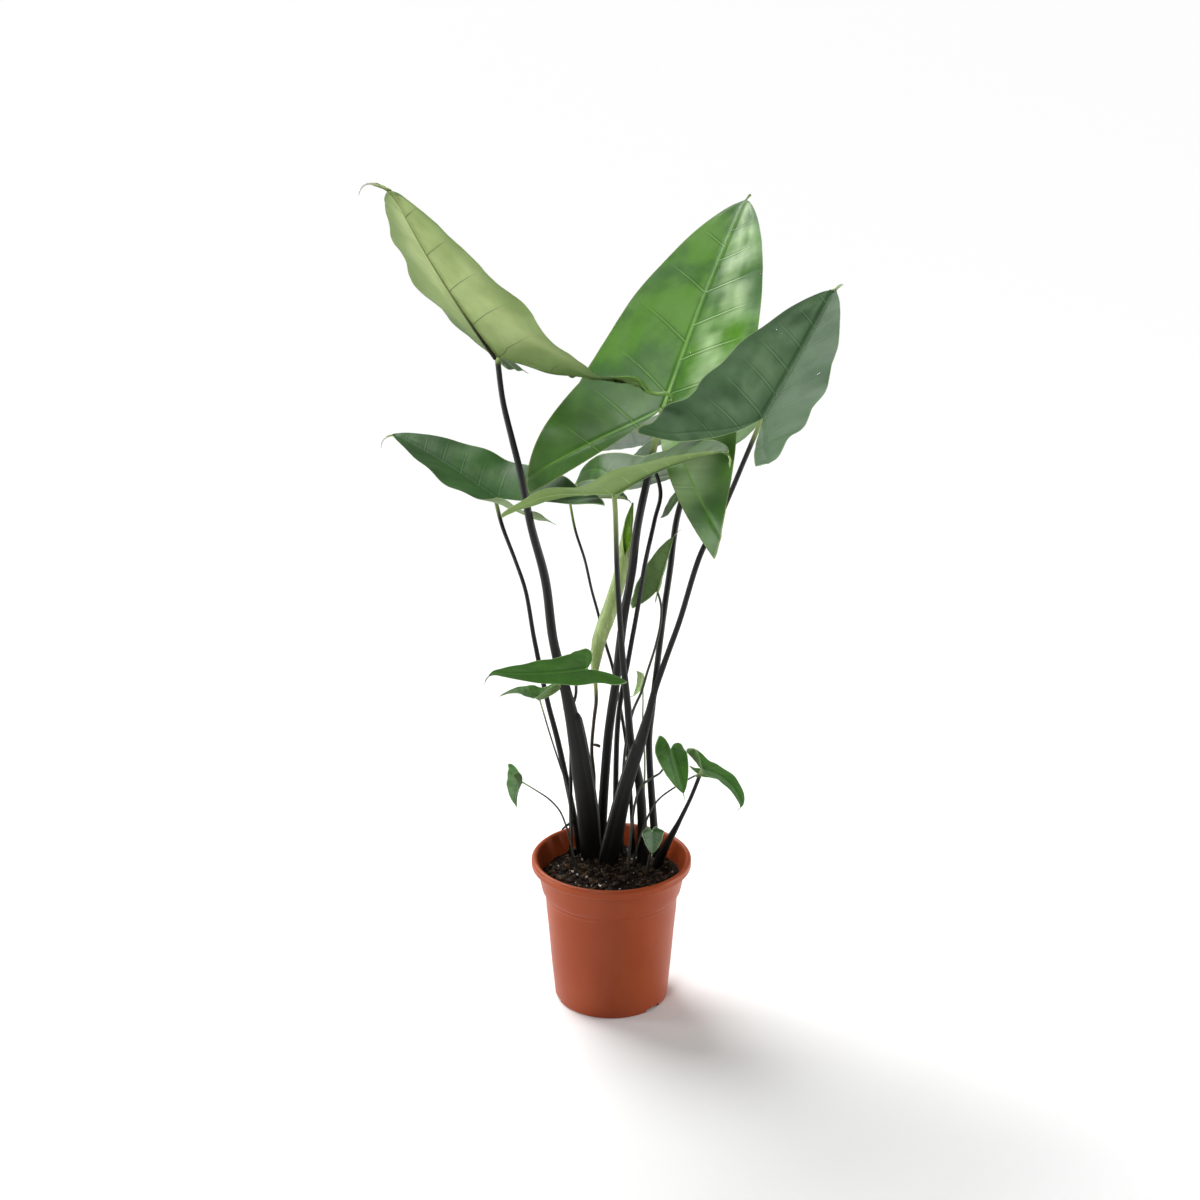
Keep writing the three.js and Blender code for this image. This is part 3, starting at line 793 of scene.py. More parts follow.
@dataclass
class Leaf:
    """One leaf: an arrow-shaped blade and its stalk, in millimetres and degrees.

    The stalk carries the blade at the joint. The length is ahead of it, the lobe behind it, and half is the
    half width. Pairs are for the left and the right half. The fold lifts the halves, the bend arches the
    midrib and the curl turns its tip. Spread, bulge, taper and blunt shape the lobes. The stalk's places
    and half widths run from the top down to the base; green is how far its top is fresh, and flat narrows
    its section. Veins, rise and first are the side veins' number, slope and start; ridge and quilt are the
    relief on the midrib and between the veins. The drip is the dry tip's length and droop. A sheath has its
    side, its start and how far it is proud, and drops have their place and radius.
    """

    name: str
    look: Look
    joint: Numbers
    length: float
    lobe: float
    half: float
    yaw: float
    pitch: float
    roll: float
    fold: Numbers
    lobe_fold: Numbers
    bend: float
    lobe_bend: float
    curl: float
    stalk: tuple[Numbers, ...]
    base: Numbers
    spread: Numbers = (1.1, 1.1)
    bulge: Numbers = (0.12, 0.12)
    taper: Numbers = (0.6, 0.6)
    flat: float = 1.0
    blunt: int = 0
    green: float = 20.0
    skin: Skin = Skin.DARK
    rib_skin: Skin = Skin.DEEP_RIB
    rib_reach: float = 60.0
    veins: Numbers = (6, 6)
    rise: Numbers = (0.62, 0.62)
    first: Numbers = (0, -4)
    ridge: float = -1.2
    quilt: float = 1.0
    ragged: float = 0.5
    drip: Numbers = (4, 0.8)
    roll_from: float = 0.0
    drops: tuple[Numbers, ...] = ()
    sheath: Numbers = ()
    stub: tuple[Numbers, ...] = ()
    _rib: dict[int, tuple[float, float, float]] = field(default_factory=dict)

    def outline(self, side: float, along: float) -> tuple[float, float, float]:
        """Gives the flat place of a point of the blade.

        Args:
            side: -1 at the left margin, 0 on the midrib and 1 at the right margin.
            along: 0 at the lobes' inner edge and 1 at the tip.

        Returns:
            The distance to the right of the midrib, the distance ahead of the joint, and the first one
            without the bulge of the lobe's inner margin.
        """
        turn = 0 if side < 0 else 1
        cut = 1 / (self.blunt + 1) if self.blunt else 0.0
        whole = abs(side)
        inner = 1 - clamp(along / LOBE_SHARE)
        out = whole * (1 - cut * inner ** self.blunt)
        rear = 1 - inner * (1 - cut * whole ** self.blunt)
        ahead = clamp((along - LOBE_SHARE) / (1 - LOBE_SHARE))
        back = 1 - rear ** 1.5
        lobe_width = 0.5 + (self.spread[turn] - 0.5) * back + 0.5 * (1 - back ** 1.3) ** self.taper[turn]
        narrowing = max(0.0, 1 - (ahead / BODY_SHARE) ** 1.6) ** 0.75
        body_width = (narrowing + TAIL_SHARE * (1 - ahead)) / (1 + TAIL_SHARE)
        in_lobe = along < LOBE_SHARE
        margin_x = self.half * (lobe_width if in_lobe else body_width)
        margin_y = -self.lobe * back if in_lobe else self.length * ahead
        rib_y = self.length * (0.1 * rear if in_lobe else 0.1 + 0.9 * ahead)
        bulge = self.bulge[turn] * self.half * 4 * out * (1 - out) * (1 - rear)
        plain = math.copysign(out * margin_x, side)
        return math.copysign(out * margin_x - bulge, side), rib_y + out * (margin_y - rib_y), plain

    def rib(self, distance: float) -> tuple[float, float, float]:
        """Gives the midrib's arch in the leaf's upright plane.

        Args:
            distance: How far ahead of the joint, or behind it where negative.

        Returns:
            The reach, the height and the slope there.
        """
        key = round(distance * 4)
        if key not in self._rib:
            self._rib[key] = self._walk_rib(key / 4)
        return self._rib[key]

    def _walk_rib(self, distance: float) -> tuple[float, float, float]:
        """Adds up the midrib's arch step by step.

        Args:
            distance: How far ahead of the joint, or behind it where negative.

        Returns:
            The reach, the height and the slope there.
        """
        steps = 40
        forward = distance >= 0
        whole = abs(distance)
        reach = height = slope = 0.0
        for step in range(steps):
            share = whole * (step + 0.5) / steps / (self.length if forward else self.lobe)
            curl = self.curl * clamp((share - CURL_START) / (1 - CURL_START)) ** 1.5
            slope = math.radians(self.bend * share + curl if forward else self.lobe_bend * share)
            reach += math.cos(slope) * whole / steps
            height += math.sin(slope) * whole / steps
        return (reach, height, slope) if forward else (-reach, height, -slope)

    def arched(self, x: float, y: float) -> Vector:
        """Carries a flat place to the folded and arched blade, in the leaf's own axes.

        Args:
            x: The distance to the right of the midrib.
            y: The distance ahead of the joint.

        Returns:
            The place, with x to the right, y to the tip and z up.
        """
        out = abs(x)
        turn = 0 if x < 0 else 1
        blend = smoothstep(y, -0.5 * self.lobe, 0.3 * self.lobe)
        fold = math.radians(mix(self.lobe_fold[turn], self.fold[turn], blend))
        phase = 2 * math.pi * WAVE_COUNT * (y / self.length) + SIDE_SHIFT * turn
        wave = WAVE_SHARE * self.half * (out / self.half) ** 2 * math.sin(phase)
        lift = out * math.sin(fold) + wave
        reach, height, slope = self.rib(y)
        return Vector((math.copysign(out * math.cos(fold), x), reach - lift * math.sin(slope),
                       height + lift * math.cos(slope)))

    def place(self) -> Matrix:
        """Turns the leaf's own axes by yaw, pitch and roll.

        Returns:
            The axes, at the joint.
        """
        yaw, pitch, roll = (math.radians(angle) for angle in (self.yaw, self.pitch, self.roll))
        tipward = Vector((math.cos(pitch) * math.cos(yaw), math.cos(pitch) * math.sin(yaw), math.sin(pitch)))
        level = Vector((math.sin(yaw), -math.cos(yaw), 0))
        upright = level.cross(tipward)
        right = level * math.cos(roll) - upright * math.sin(roll)
        up = level * math.sin(roll) + upright * math.cos(roll)
        turned = Matrix((right, tipward, up)).transposed().to_4x4()
        return Matrix.Translation(self.joint) @ turned

    def vein_at(self, x: float, y: float) -> tuple[float, float, float]:
        """Gives a flat place's position in the vein pattern.

        Args:
            x: The distance to the right of the midrib, without the bulge.
            y: The distance ahead of the joint.

        Returns:
            The side veins' phase, whose whole numbers are veins, the distance outside the lobe's rib and
            the veins' spacing.
        """
        out = abs(x)
        turn = 0 if x < 0 else 1
        rise = self.rise[turn]
        spacing = self.length / self.veins[turn]
        level = y + 0.16 * out * out / self.half
        end_x = self.half * (self.spread[turn] + 0.1)
        end_y = -self.lobe * 0.9 + 0.16 * end_x * end_x / self.half
        wide = end_x * rise - end_y
        back = (out * rise - level) / wide
        outside = (out - back * end_x) * wide / math.hypot(end_x, end_y) / math.hypot(1, rise)
        if level >= out * rise:
            return (level - out * rise - self.first[turn]) / spacing, outside, spacing
        reach = math.hypot(end_x, end_y)
        lobe_spacing = max(spacing * 0.8, reach / 4)
        return -back * reach / lobe_spacing - self.first[turn] / spacing, outside, lobe_spacing

    def route(self) -> Route:
        """Gives the stalk's way.

        Returns:
            The route from the joint into the potting mix.
        """
        top = (*self.joint, self.stalk[0][3])
        return Route([top, *self.stalk, *foot(self.base)], self.flat)


@dataclass
class Blade:
    """A leaf's blade as a thin closed shell, with the rib below it and its thin dry tip."""

    leaf: Leaf
    finish: list[bpy.types.Material]
    edge_taper: float = 6.0
    finest: float = 0.8
    coarsest: float = 2.2

    def __post_init__(self) -> None:
        """Works out the leaf's axes and the scale of its relief."""
        self.place = self.leaf.place()
        self.scale = self.leaf.half / RELIEF_HALF

    def _relief(self, x: float, y: float, side: float, vein: Numbers) -> float:
        """Gives how far the surface stands proud of the plain shape.

        Args:
            x: The flat distance from the midrib.
            y: The flat distance ahead of the joint.
            side: How far out, from -1 to 1.
            vein: The place in the vein pattern.

        Returns:
            The height in millimetres.
        """
        leaf = self.leaf
        phase, costa, spacing = vein
        away = abs(phase - round(phase)) * spacing
        size = self.scale
        inner = clamp(abs(side) * 5) * clamp((1 - abs(side)) * 4)
        quilt = leaf.quilt * 1.3 * size * smoothstep(away, 0, 0.5 * spacing) * inner
        ribs = leaf.ridge * size * math.exp(-(x / 3.4) ** 2)
        costas = -0.9 * size * math.exp(-(costa / 2.6) ** 2) * clamp(abs(side) * 6)
        broad = 1.5 * noise.noise(Vector((x, y, leaf.yaw)) / 38)
        puckers = 0.5 * noise.noise(Vector((phase * 3.1, x / 26, leaf.yaw)))
        return quilt + ribs + costas + leaf.quilt * size * (broad + puckers) * clamp(abs(side) * 3)

    def _to_margin(self, side: float, along: float) -> float:
        """Gives the distance to the nearest margin, in millimetres."""
        leaf = self.leaf
        return min((1 - abs(side)) * leaf.half, along * leaf.length * 0.75, (1 - along) * leaf.length)

    def _spot(self, x: float, y: float) -> tuple[Vector, Vector]:
        """Finds where a flat point lies on the arched blade.

        Args:
            x: The flat distance from the midrib.
            y: The flat distance ahead of the joint.

        Returns:
            The place and the normal there, in the leaf's own axes.
        """
        near = ((0, 0), (-0.5, 0), (0.5, 0), (0, 0.5))
        here, left, right, ahead = (self.leaf.arched(x + dx, y + dy) for dx, dy in near)
        return here, (right - left).cross(ahead - here).normalized()

    def build(self) -> bpy.types.Object:
        """Builds the blade, its rib and its tip.

        Returns:
            The piece.
        """
        leaf = self.leaf
        pitch = clamp(leaf.half / 40, self.finest, self.coarsest)
        across = 2 * round(leaf.half * 1.1 / pitch)
        lengthwise = round((leaf.length + leaf.lobe) / pitch * 0.9)
        body = bmesh.new()
        flat_layer = body.verts.layers.float_vector.new("flat")
        vein_layer = body.verts.layers.float_vector.new("vein")
        reach_layer = body.verts.layers.float.new("reach")
        bmesh.ops.create_grid(body, x_segments=across, y_segments=lengthwise, size=1.0)
        upper = list(body.verts)
        depth: list[float] = []
        raised: list[float] = []
        for vert in upper:
            side, along = clamp(vert.co.x, -1, 1), clamp((vert.co.y + 1) / 2)
            x, y, plain = leaf.outline(side, along)
            vein = leaf.vein_at(plain, y)
            reach = self._to_margin(side, along)
            vert[flat_layer] = (x, y / leaf.length, side)
            vert[vein_layer] = vein
            vert[reach_layer] = reach
            uneven = leaf.ragged * side ** 4 * noise.noise(Vector((along * 14, side, leaf.yaw)))
            vert.co = self.place @ leaf.arched(x + math.copysign(uneven, side), y)
            depth.append(BLADE_THICKNESS * math.sqrt(clamp(reach / self.edge_taper)))
            raised.append(self._relief(x, y, side, vein))
        body.normal_update()
        normals = [vert.normal.copy() for vert in upper]
        copied = bmesh.ops.duplicate(body, geom=[*body.verts, *body.edges, *body.faces])
        pairs = copied["vert_map"]
        lower_faces = [item for item in copied["geom"] if isinstance(item, bmesh.types.BMFace)]
        bmesh.ops.reverse_faces(body, faces=lower_faces)
        for face in lower_faces:
            face.material_index = BladePart.LOWER
        for vert, normal, thick, height in zip(upper, normals, depth, raised):
            pairs[vert].co = vert.co + normal * (height - thick)
            vert.co = vert.co + normal * height
        bmesh.ops.remove_doubles(body, verts=body.verts, dist=0.02)
        for edge in body.edges:
            edge.smooth = len({face.material_index for face in edge.link_faces}) == 1
        self._add_rib(body)
        self._add_tip(body)
        if leaf.roll_from:
            self._add_roll(body)
        self._add_drops(body)
        return finished(f"leaf_{leaf.name}", body, self.finish, (f"blade_{leaf.name}",))

    def _add_rib(self, body: bmesh.types.BMesh) -> None:
        """Adds the rib along the lower face, which thins towards the tip; a raised one shows above too.

        Args:
            body: The blade's mesh.
        """
        leaf = self.leaf
        raised = leaf.ridge > 0
        stem = min(leaf.stalk[0][3], 0.03 * leaf.half + 0.6) * (0.95 if raised else 0.7)
        points = []
        for step in range(13):
            share = step / 12
            thick = mix(stem, 0.3, share ** 0.6)
            here, normal = self._spot(0.0, leaf.length * 0.94 * share)
            under = thick + 0.3 - leaf.ridge * self.scale
            sunk = BLADE_THICKNESS * 0.6 + thick * 0.25 if raised else under
            points.append((*(self.place @ (here - normal * sunk)), thick))
        tube(body, Route(points), 8, 40, fresh_reach=leaf.rib_reach, slot_index=BladePart.RIB)

    def _add_tip(self, body: bmesh.types.BMesh) -> None:
        """Adds the thin dry tip, which leaves the blade straight and droops.

        Args:
            body: The blade's mesh.
        """
        leaf = self.leaf
        reach, droop = leaf.drip
        thick = clamp(leaf.half / 70, 0.5, 1.5)
        shares = (0.93, 0.96, 0.995)
        start, inner, end = (self.place @ leaf.arched(0.0, leaf.length * share) for share in shares)
        heading = (end - inner).normalized()
        points = [(*start, 0.5 * thick), (*inner, thick), (*end, 1.1 * thick)]
        for step in range(1, 7):
            share = step / 6
            heading = (heading + Vector((0, 0, -1)) * droop * 0.5 * share).normalized()
            end = end + heading * reach / 6
            points.append((*end, mix(thick, 0.3, share ** 0.8)))
        tube(body, Route(points), 8, 36, fresh_reach=leaf.length * 0.07, slot_index=BladePart.TIP)

    def _add_roll(self, body: bmesh.types.BMesh) -> None:
        """Adds the rolled edge of a lobe's end, which closes with a small hook.

        Args:
            body: The blade's mesh.
        """
        leaf = self.leaf
        points = []
        for step in range(13):
            along = leaf.roll_from * (1 - step / 12)
            x, y, _plain = leaf.outline(-1, along)
            points.append((*(self.place @ leaf.arched(x, y)), mix(0.6, 2.3, smoothstep(step, 0, 6))))
        end = Vector(points[-1][:3])
        for offset, thick in (((6, -2, -2), 2.2), ((8, -2, -7), 1.8), ((3, -1, -9), 1.3)):
            points.append((*(end + Vector(offset)), thick))
        tube(body, Route(points), 10, 48, slot_index=BladePart.ROLL, rounded=0.05)

    def _add_drops(self, body: bmesh.types.BMesh) -> None:
        """Adds water drops that lie on the upper face.

        Args:
            body: The blade's mesh.
        """
        leaf = self.leaf
        for side, along, radius in leaf.drops:
            x, y, plain = leaf.outline(side, along)
            lift = self._relief(x, y, side, leaf.vein_at(plain, y))
            here, normal = self._spot(x, y)
            turned = normal.to_track_quat("Z", "Y").to_matrix().to_4x4()
            level = self.place @ Matrix.Translation(here + normal * lift) @ turned
            made = bmesh.ops.create_icosphere(body, subdivisions=3, radius=radius,
                                              matrix=level @ Matrix.Diagonal((1, 1.25, 0.5, 1)))
            for face in {face for vert in made["verts"] for face in vert.link_faces}:
                face.material_index = BladePart.WATER


@dataclass
class Petiole:
    """A leaf's stalk down into the potting mix, in its skin, with its sheath's edge and a pale line along
    it.
    """

    leaf: Leaf
    finish: list[bpy.types.Material]

    def build(self) -> bpy.types.Object:
        """Builds the stalk as one round bar along its route.

        Returns:
            The piece.
        """
        leaf = self.leaf
        route = leaf.route()
        length = route.length()
        body = bmesh.new()
        sides = 20 if leaf.base[2] > 4 else 12
        tube(body, route, sides, round(length / 5), (1.2 / length, 0.985), leaf.green)
        if leaf.sheath:
            self._add_sheath(body, route, *leaf.sheath)
        if leaf.stub:
            tube(body, Route(list(leaf.stub)), 10, 10)
        return finished(f"petiole_{leaf.name}", body, self.finish, (f"stalk_{leaf.name}",))

    @staticmethod
    def _add_sheath(body: bmesh.types.BMesh, route: Route, turn: float, start: float, proud: float) -> None:
        """Adds the sheath's thick edge, which begins with a shoulder, and a pale line along it.

        Args:
            body: The stalk's mesh.
            route: The stalk's way.
            turn: 1 for the right side and -1 for the left.
            start: The share of the way where the shoulder is.
            proud: How far the shoulder stands out, in millimetres.
        """
        wing, line = [], []
        for step in range(12):
            share = mix(start, 0.93, step / 11)
            centre, across, _away, width, depth = route.ring(share)
            thick = width * 0.42 + proud * (1 - 0.7 * step / 11)
            spot = centre + across * turn * width * 0.66 + Vector((0, -1, 0)) * depth * 0.2
            wing.append((*spot, thick))
            line.append((*(spot + Vector((turn * 0.75, -0.66, 0)) * (thick - 0.15)), 0.4))
        tube(body, Route(wing), 12, 60, rounded=0.07)
        tube(body, Route(line), 6, 60, span=(0.06, 0.96), slot_index=1)


@dataclass
class RolledLeaf:
    """The newest leaf, still rolled round itself, on its own stalk."""

    spindle: tuple[Numbers, ...] = (
        (27, 74, 661, 1), (22, 74, 638, 6), (17, 73, 605, 8), (11, 72, 565, 9), (2, 71, 531, 9.6),
        (-7, 71, 503, 10.2), (-16, 70, 476, 9.4), (-20, 69, 453, 7.6), (-22, 69, 432, 4.6))
    stalk: tuple[Numbers, ...] = (
        (-22.1, 69, 431.6, 2.8), (-20, 68, 393, 2.5), (-23, 66, 365, 2.3), (-26, 66, 322, 2.3),
        (-23, 67, 279, 2.5))
    base: Numbers = (-29, 72, 3)
    nub: tuple[Numbers, ...] = ((-23, 64, 331, 1.6), (-19, 62, 331, 2.2), (-15, 60, 330, 1.9))
    outer: str = "879a5e"
    outer_shade: str = "728548"
    inner: str = "7aa822"
    inner_shade: str = "628f1c"
    # Pale colour of painted highlight specks along the creases
    crease: str = "c3cfa0"
    thickness: float = 0.7

    def finishes(self) -> list[bpy.types.Material]:
        """Makes the pale outside and the bright inside, both with painted highlight specks along the
        creases.

        Returns:
            The two materials.
        """
        made = []
        for name, light, shade in (("rolled_outside", self.outer, self.outer_shade),
                                   ("rolled_inside", self.inner, self.inner_shade)):
            paint = Recipe(name, Specular_IOR_Level=0.4)
            where = paint.place()
            clouds = paint.grain(paint.stretched(where, (60.0, 60.0, 18.0)), 1.0, 3.0)
            lines = paint.grain(paint.stretched(where, (700.0, 700.0, 40.0)), 1.0, 2.0)
            creases_and_highlights = paint.grain(paint.stretched(where, (220.0, 220.0, 55.0)), 1.0, 3.0, 0.6)
            ground = paint.blend(clouds.eased(0.35, 0.7), linear(light), linear(shade))
            # Painted highlights: pale specks along the creases
            colour = paint.blend(creases_and_highlights.eased(0.52, 0.72) * 0.45, ground, linear(self.crease))
            made.append(paint.feed(Base_Color=colour, Roughness=0.44 + clouds * 0.1,
                                   Normal=paint.bump(lines * 0.5 + creases_and_highlights * 0.5, 0.0006, 0.5)))
        return made

    def build(self, skins: dict[Skin, bpy.types.Material]) -> None:
        """Builds the roll, which opens towards its point, and its stalk.

        Args:
            skins: The stalk materials.
        """
        body = bmesh.new()
        bmesh.ops.create_grid(body, x_segments=64, y_segments=100, size=1.0)
        route = Route(list(self.spindle))
        for vert in body.verts:
            turn, share = (vert.co.x + 1) / 2, (vert.co.y + 1) / 2
            centre, across, away, width, _depth = route.ring(share)
            turns = mix(0.48, 1.45, smoothstep(share, 0.14, 0.42))
            edge = 1.35 - max(0.0, 1 - turns) * math.pi
            angle = edge - (1 - turn) * turns * 2 * math.pi
            spot = Vector((angle * 1.6, share * 34, 0.0))
            crease = 0.035 * noise.noise(spot) * smoothstep(share, 0.3, 0.5)
            shell = width * mix(0.8, 1.0, smoothstep(turn, 0.0, 0.6)) * (1 + crease)
            vert.co = centre + across * math.cos(angle) * shell - away * math.sin(angle) * shell
        bmesh.ops.remove_doubles(body, verts=body.verts, dist=0.01)
        bmesh.ops.recalc_face_normals(body, faces=body.faces)
        middle = route.ring(0.5)[0]
        if sum(face.normal.dot(face.calc_center_median() - middle) for face in body.faces) < 0:
            bmesh.ops.reverse_faces(body, faces=body.faces)
        piece = finished("leaf_rolled", body, self.finishes(), ("blade_new_leaf",))
        shell = piece.modifiers.new("shell", "SOLIDIFY")
        shell.thickness = self.thickness * MM
        shell.offset = -1
        shell.material_offset = 1
        shell.material_offset_rim = 0
        body = bmesh.new()
        tube(body, Route([*self.stalk, *foot(self.base)]), 12, 60, (0.0, 0.985), 50.0)
        tube(body, Route(list(self.nub)), 10, 10)
        finished("petiole_rolled", body, [skins[Skin.BROWN]], ("stalk_new_leaf",))


@dataclass
class Pot:
    """The nursery pot: a thin moulded shell with a rolled lip, a stepped collar, drains and foot notches."""

    height: float = 200.5
    base_radius: float = 75.0
    lip_radius: float = 105.0
    mouth_radius: float = 97.5
    step_height: float = 152.0
    step_radius: float = 88.2
    collar_radius: float = 91.5
    collar_top_radius: float = 94.0
    wall: float = 2.2
    floor_top: float = 5.5
    drain_count: int = 8
    drain_circle: float = 44.0
    drain_radius: float = 4.5
    notch_count: int = 3
    notch_turn: float = -43.0
    notch_width: float = 24.0
    notch_height: float = 6.2
    mark_place: Numbers = (3, -75.6, 10)
    mark_radius: float = 1.0
    corner: float = 0.7
    steps: int = 160

    def profile(self) -> list[tuple[float, float]]:
        """Gives the half outline, from the middle of the underside round to the middle of the floor.

        Returns:
            Pairs of radius and height.
        """
        lip = self.height - 12
        wall = self.wall
        return [
            (0, 0), (18, 0), (20, 3), (64, 3), (66, 0), (self.base_radius - 1.5, 0), (self.base_radius, 1.5),
            (79.6, 50), (83.4, 100), (86.2, 130), (86.8, self.step_height - 6),
            (self.step_radius, self.step_height - 4), (self.step_radius, self.step_height),
            (self.collar_radius, self.step_height + 4), (self.collar_top_radius, 168), (97, lip + 1),
            (101, lip + 2.4), (103.6, lip), (self.lip_radius, lip + 1.6), (self.lip_radius, self.height - 3),
            (103.4, self.height - 0.7), (101.2, self.height), (99, self.height - 0.7),
            (self.mouth_radius, self.height - 3), (94.6, lip - 3),
            (self.collar_top_radius - wall, SOIL_LEVEL), (self.collar_radius - wall, self.step_height + 6),
            (self.step_radius - 2 * wall, self.step_height - 8), (self.base_radius - wall, self.floor_top),
            (0, self.floor_top)]

    @staticmethod
    def _bore(body: bmesh.types.BMesh, spot: Matrix, radius: float, depth: float, sides: int) -> None:
        """Adds one round cutter.

        Args:
            body: The cutter's mesh.
            spot: Its axes, with its own along Z.
            radius: Its radius.
            depth: Its length.
            sides: How many sides it has.
        """
        bmesh.ops.create_cone(body, cap_ends=True, segments=sides, radius1=radius, radius2=radius,
                              depth=depth, matrix=spot)

    def _cutters(self) -> bpy.types.Object:
        """Builds the drains, the foot notches and the moulding mark as one cutting object.

        Returns:
            The cutter, which isn't a piece.
        """
        body = bmesh.new()
        for hole in range(self.drain_count):
            angle = (hole + 0.5) * 2 * math.pi / self.drain_count
            spot = (self.drain_circle * math.cos(angle), self.drain_circle * math.sin(angle), 3)
            self._bore(body, Matrix.Translation(spot), self.drain_radius, 16, 24)
        size = Matrix.Diagonal((self.notch_width, self.notch_width, self.notch_height, 1))
        for notch in range(self.notch_count):
            turn = math.radians(self.notch_turn + 360 / self.notch_count * notch)
            spot = Matrix.Rotation(turn, 4, "Z") @ Matrix.Translation((self.base_radius, 0, 1.5))
            bmesh.ops.create_cube(body, size=1.0, matrix=spot @ size)
        mark = Matrix.Translation(self.mark_place) @ Matrix.Rotation(math.radians(90), 4, "X")
        self._bore(body, mark, self.mark_radius, 2.4, 16)
        bmesh.ops.scale(body, vec=(MM, MM, MM), verts=body.verts)
        mesh = bpy.data.meshes.new("pot_cutter")
        body.to_mesh(mesh)
        body.free()
        cutter = bpy.data.objects.new("pot_cutter", mesh)
        bpy.context.scene.collection.objects.link(cutter)
        return cutter

    def build(self) -> bpy.types.Object:
        """Builds the pot.

        Returns:
            The piece.
        """
        body = bmesh.new()
        lathe(body, self.profile(), self.steps)
        corners = [edge for edge in body.edges if len(edge.link_faces) == 2 and edge.calc_face_angle() > 0.3
                   and abs(edge.verts[0].co.z - edge.verts[1].co.z) < 1e-4
                   and (edge.verts[0].co.z > 1 or edge.verts[0].co.xy.length > self.base_radius - 1)]
        bmesh.ops.bevel(body, geom=corners, offset=self.corner, offset_type="OFFSET", affect="EDGES",
                        segments=3, profile=0.5, material=-1)
        piece = finished("pot_shell", body, [PotFinish().make()], ("pot",))
        cutter = self._cutters()
        cut = piece.modifiers.new("openings", "BOOLEAN")
        cut.object = cutter
        cut.operation = "DIFFERENCE"
        cut.solver = "EXACT"
        solved = bpy.data.meshes.new_from_object(piece.evaluated_get(bpy.context.evaluated_depsgraph_get()))
        piece.modifiers.clear()
        old = piece.data
        piece.data = solved
        bpy.data.meshes.remove(old)
        bpy.data.meshes.remove(cutter.data)
        self._sharpen(solved)
        return piece

    @staticmethod
    def _sharpen(mesh: bpy.types.Mesh) -> None:
        """Keeps the cut edges crisp.

        Args:
            mesh: The cut mesh.
        """
        body = bmesh.new()
        body.from_mesh(mesh)
        for edge in body.edges:
            edge.smooth = len(edge.link_faces) == 2 and edge.calc_face_angle() < 0.6
        for face in body.faces:
            face.smooth = True
        body.to_mesh(mesh)
        body.free()


@dataclass(frozen=True)
class Strewn:
    """One kind of bit on the mix: how many, half lengths, proportions, unevenness, detail and lift."""

    name: str
    finish: MixFinish
    count: int
    sizes: tuple[float, float]
    shape: Numbers
    uneven: float
    detail: int = 1
    lift: float = 0.0


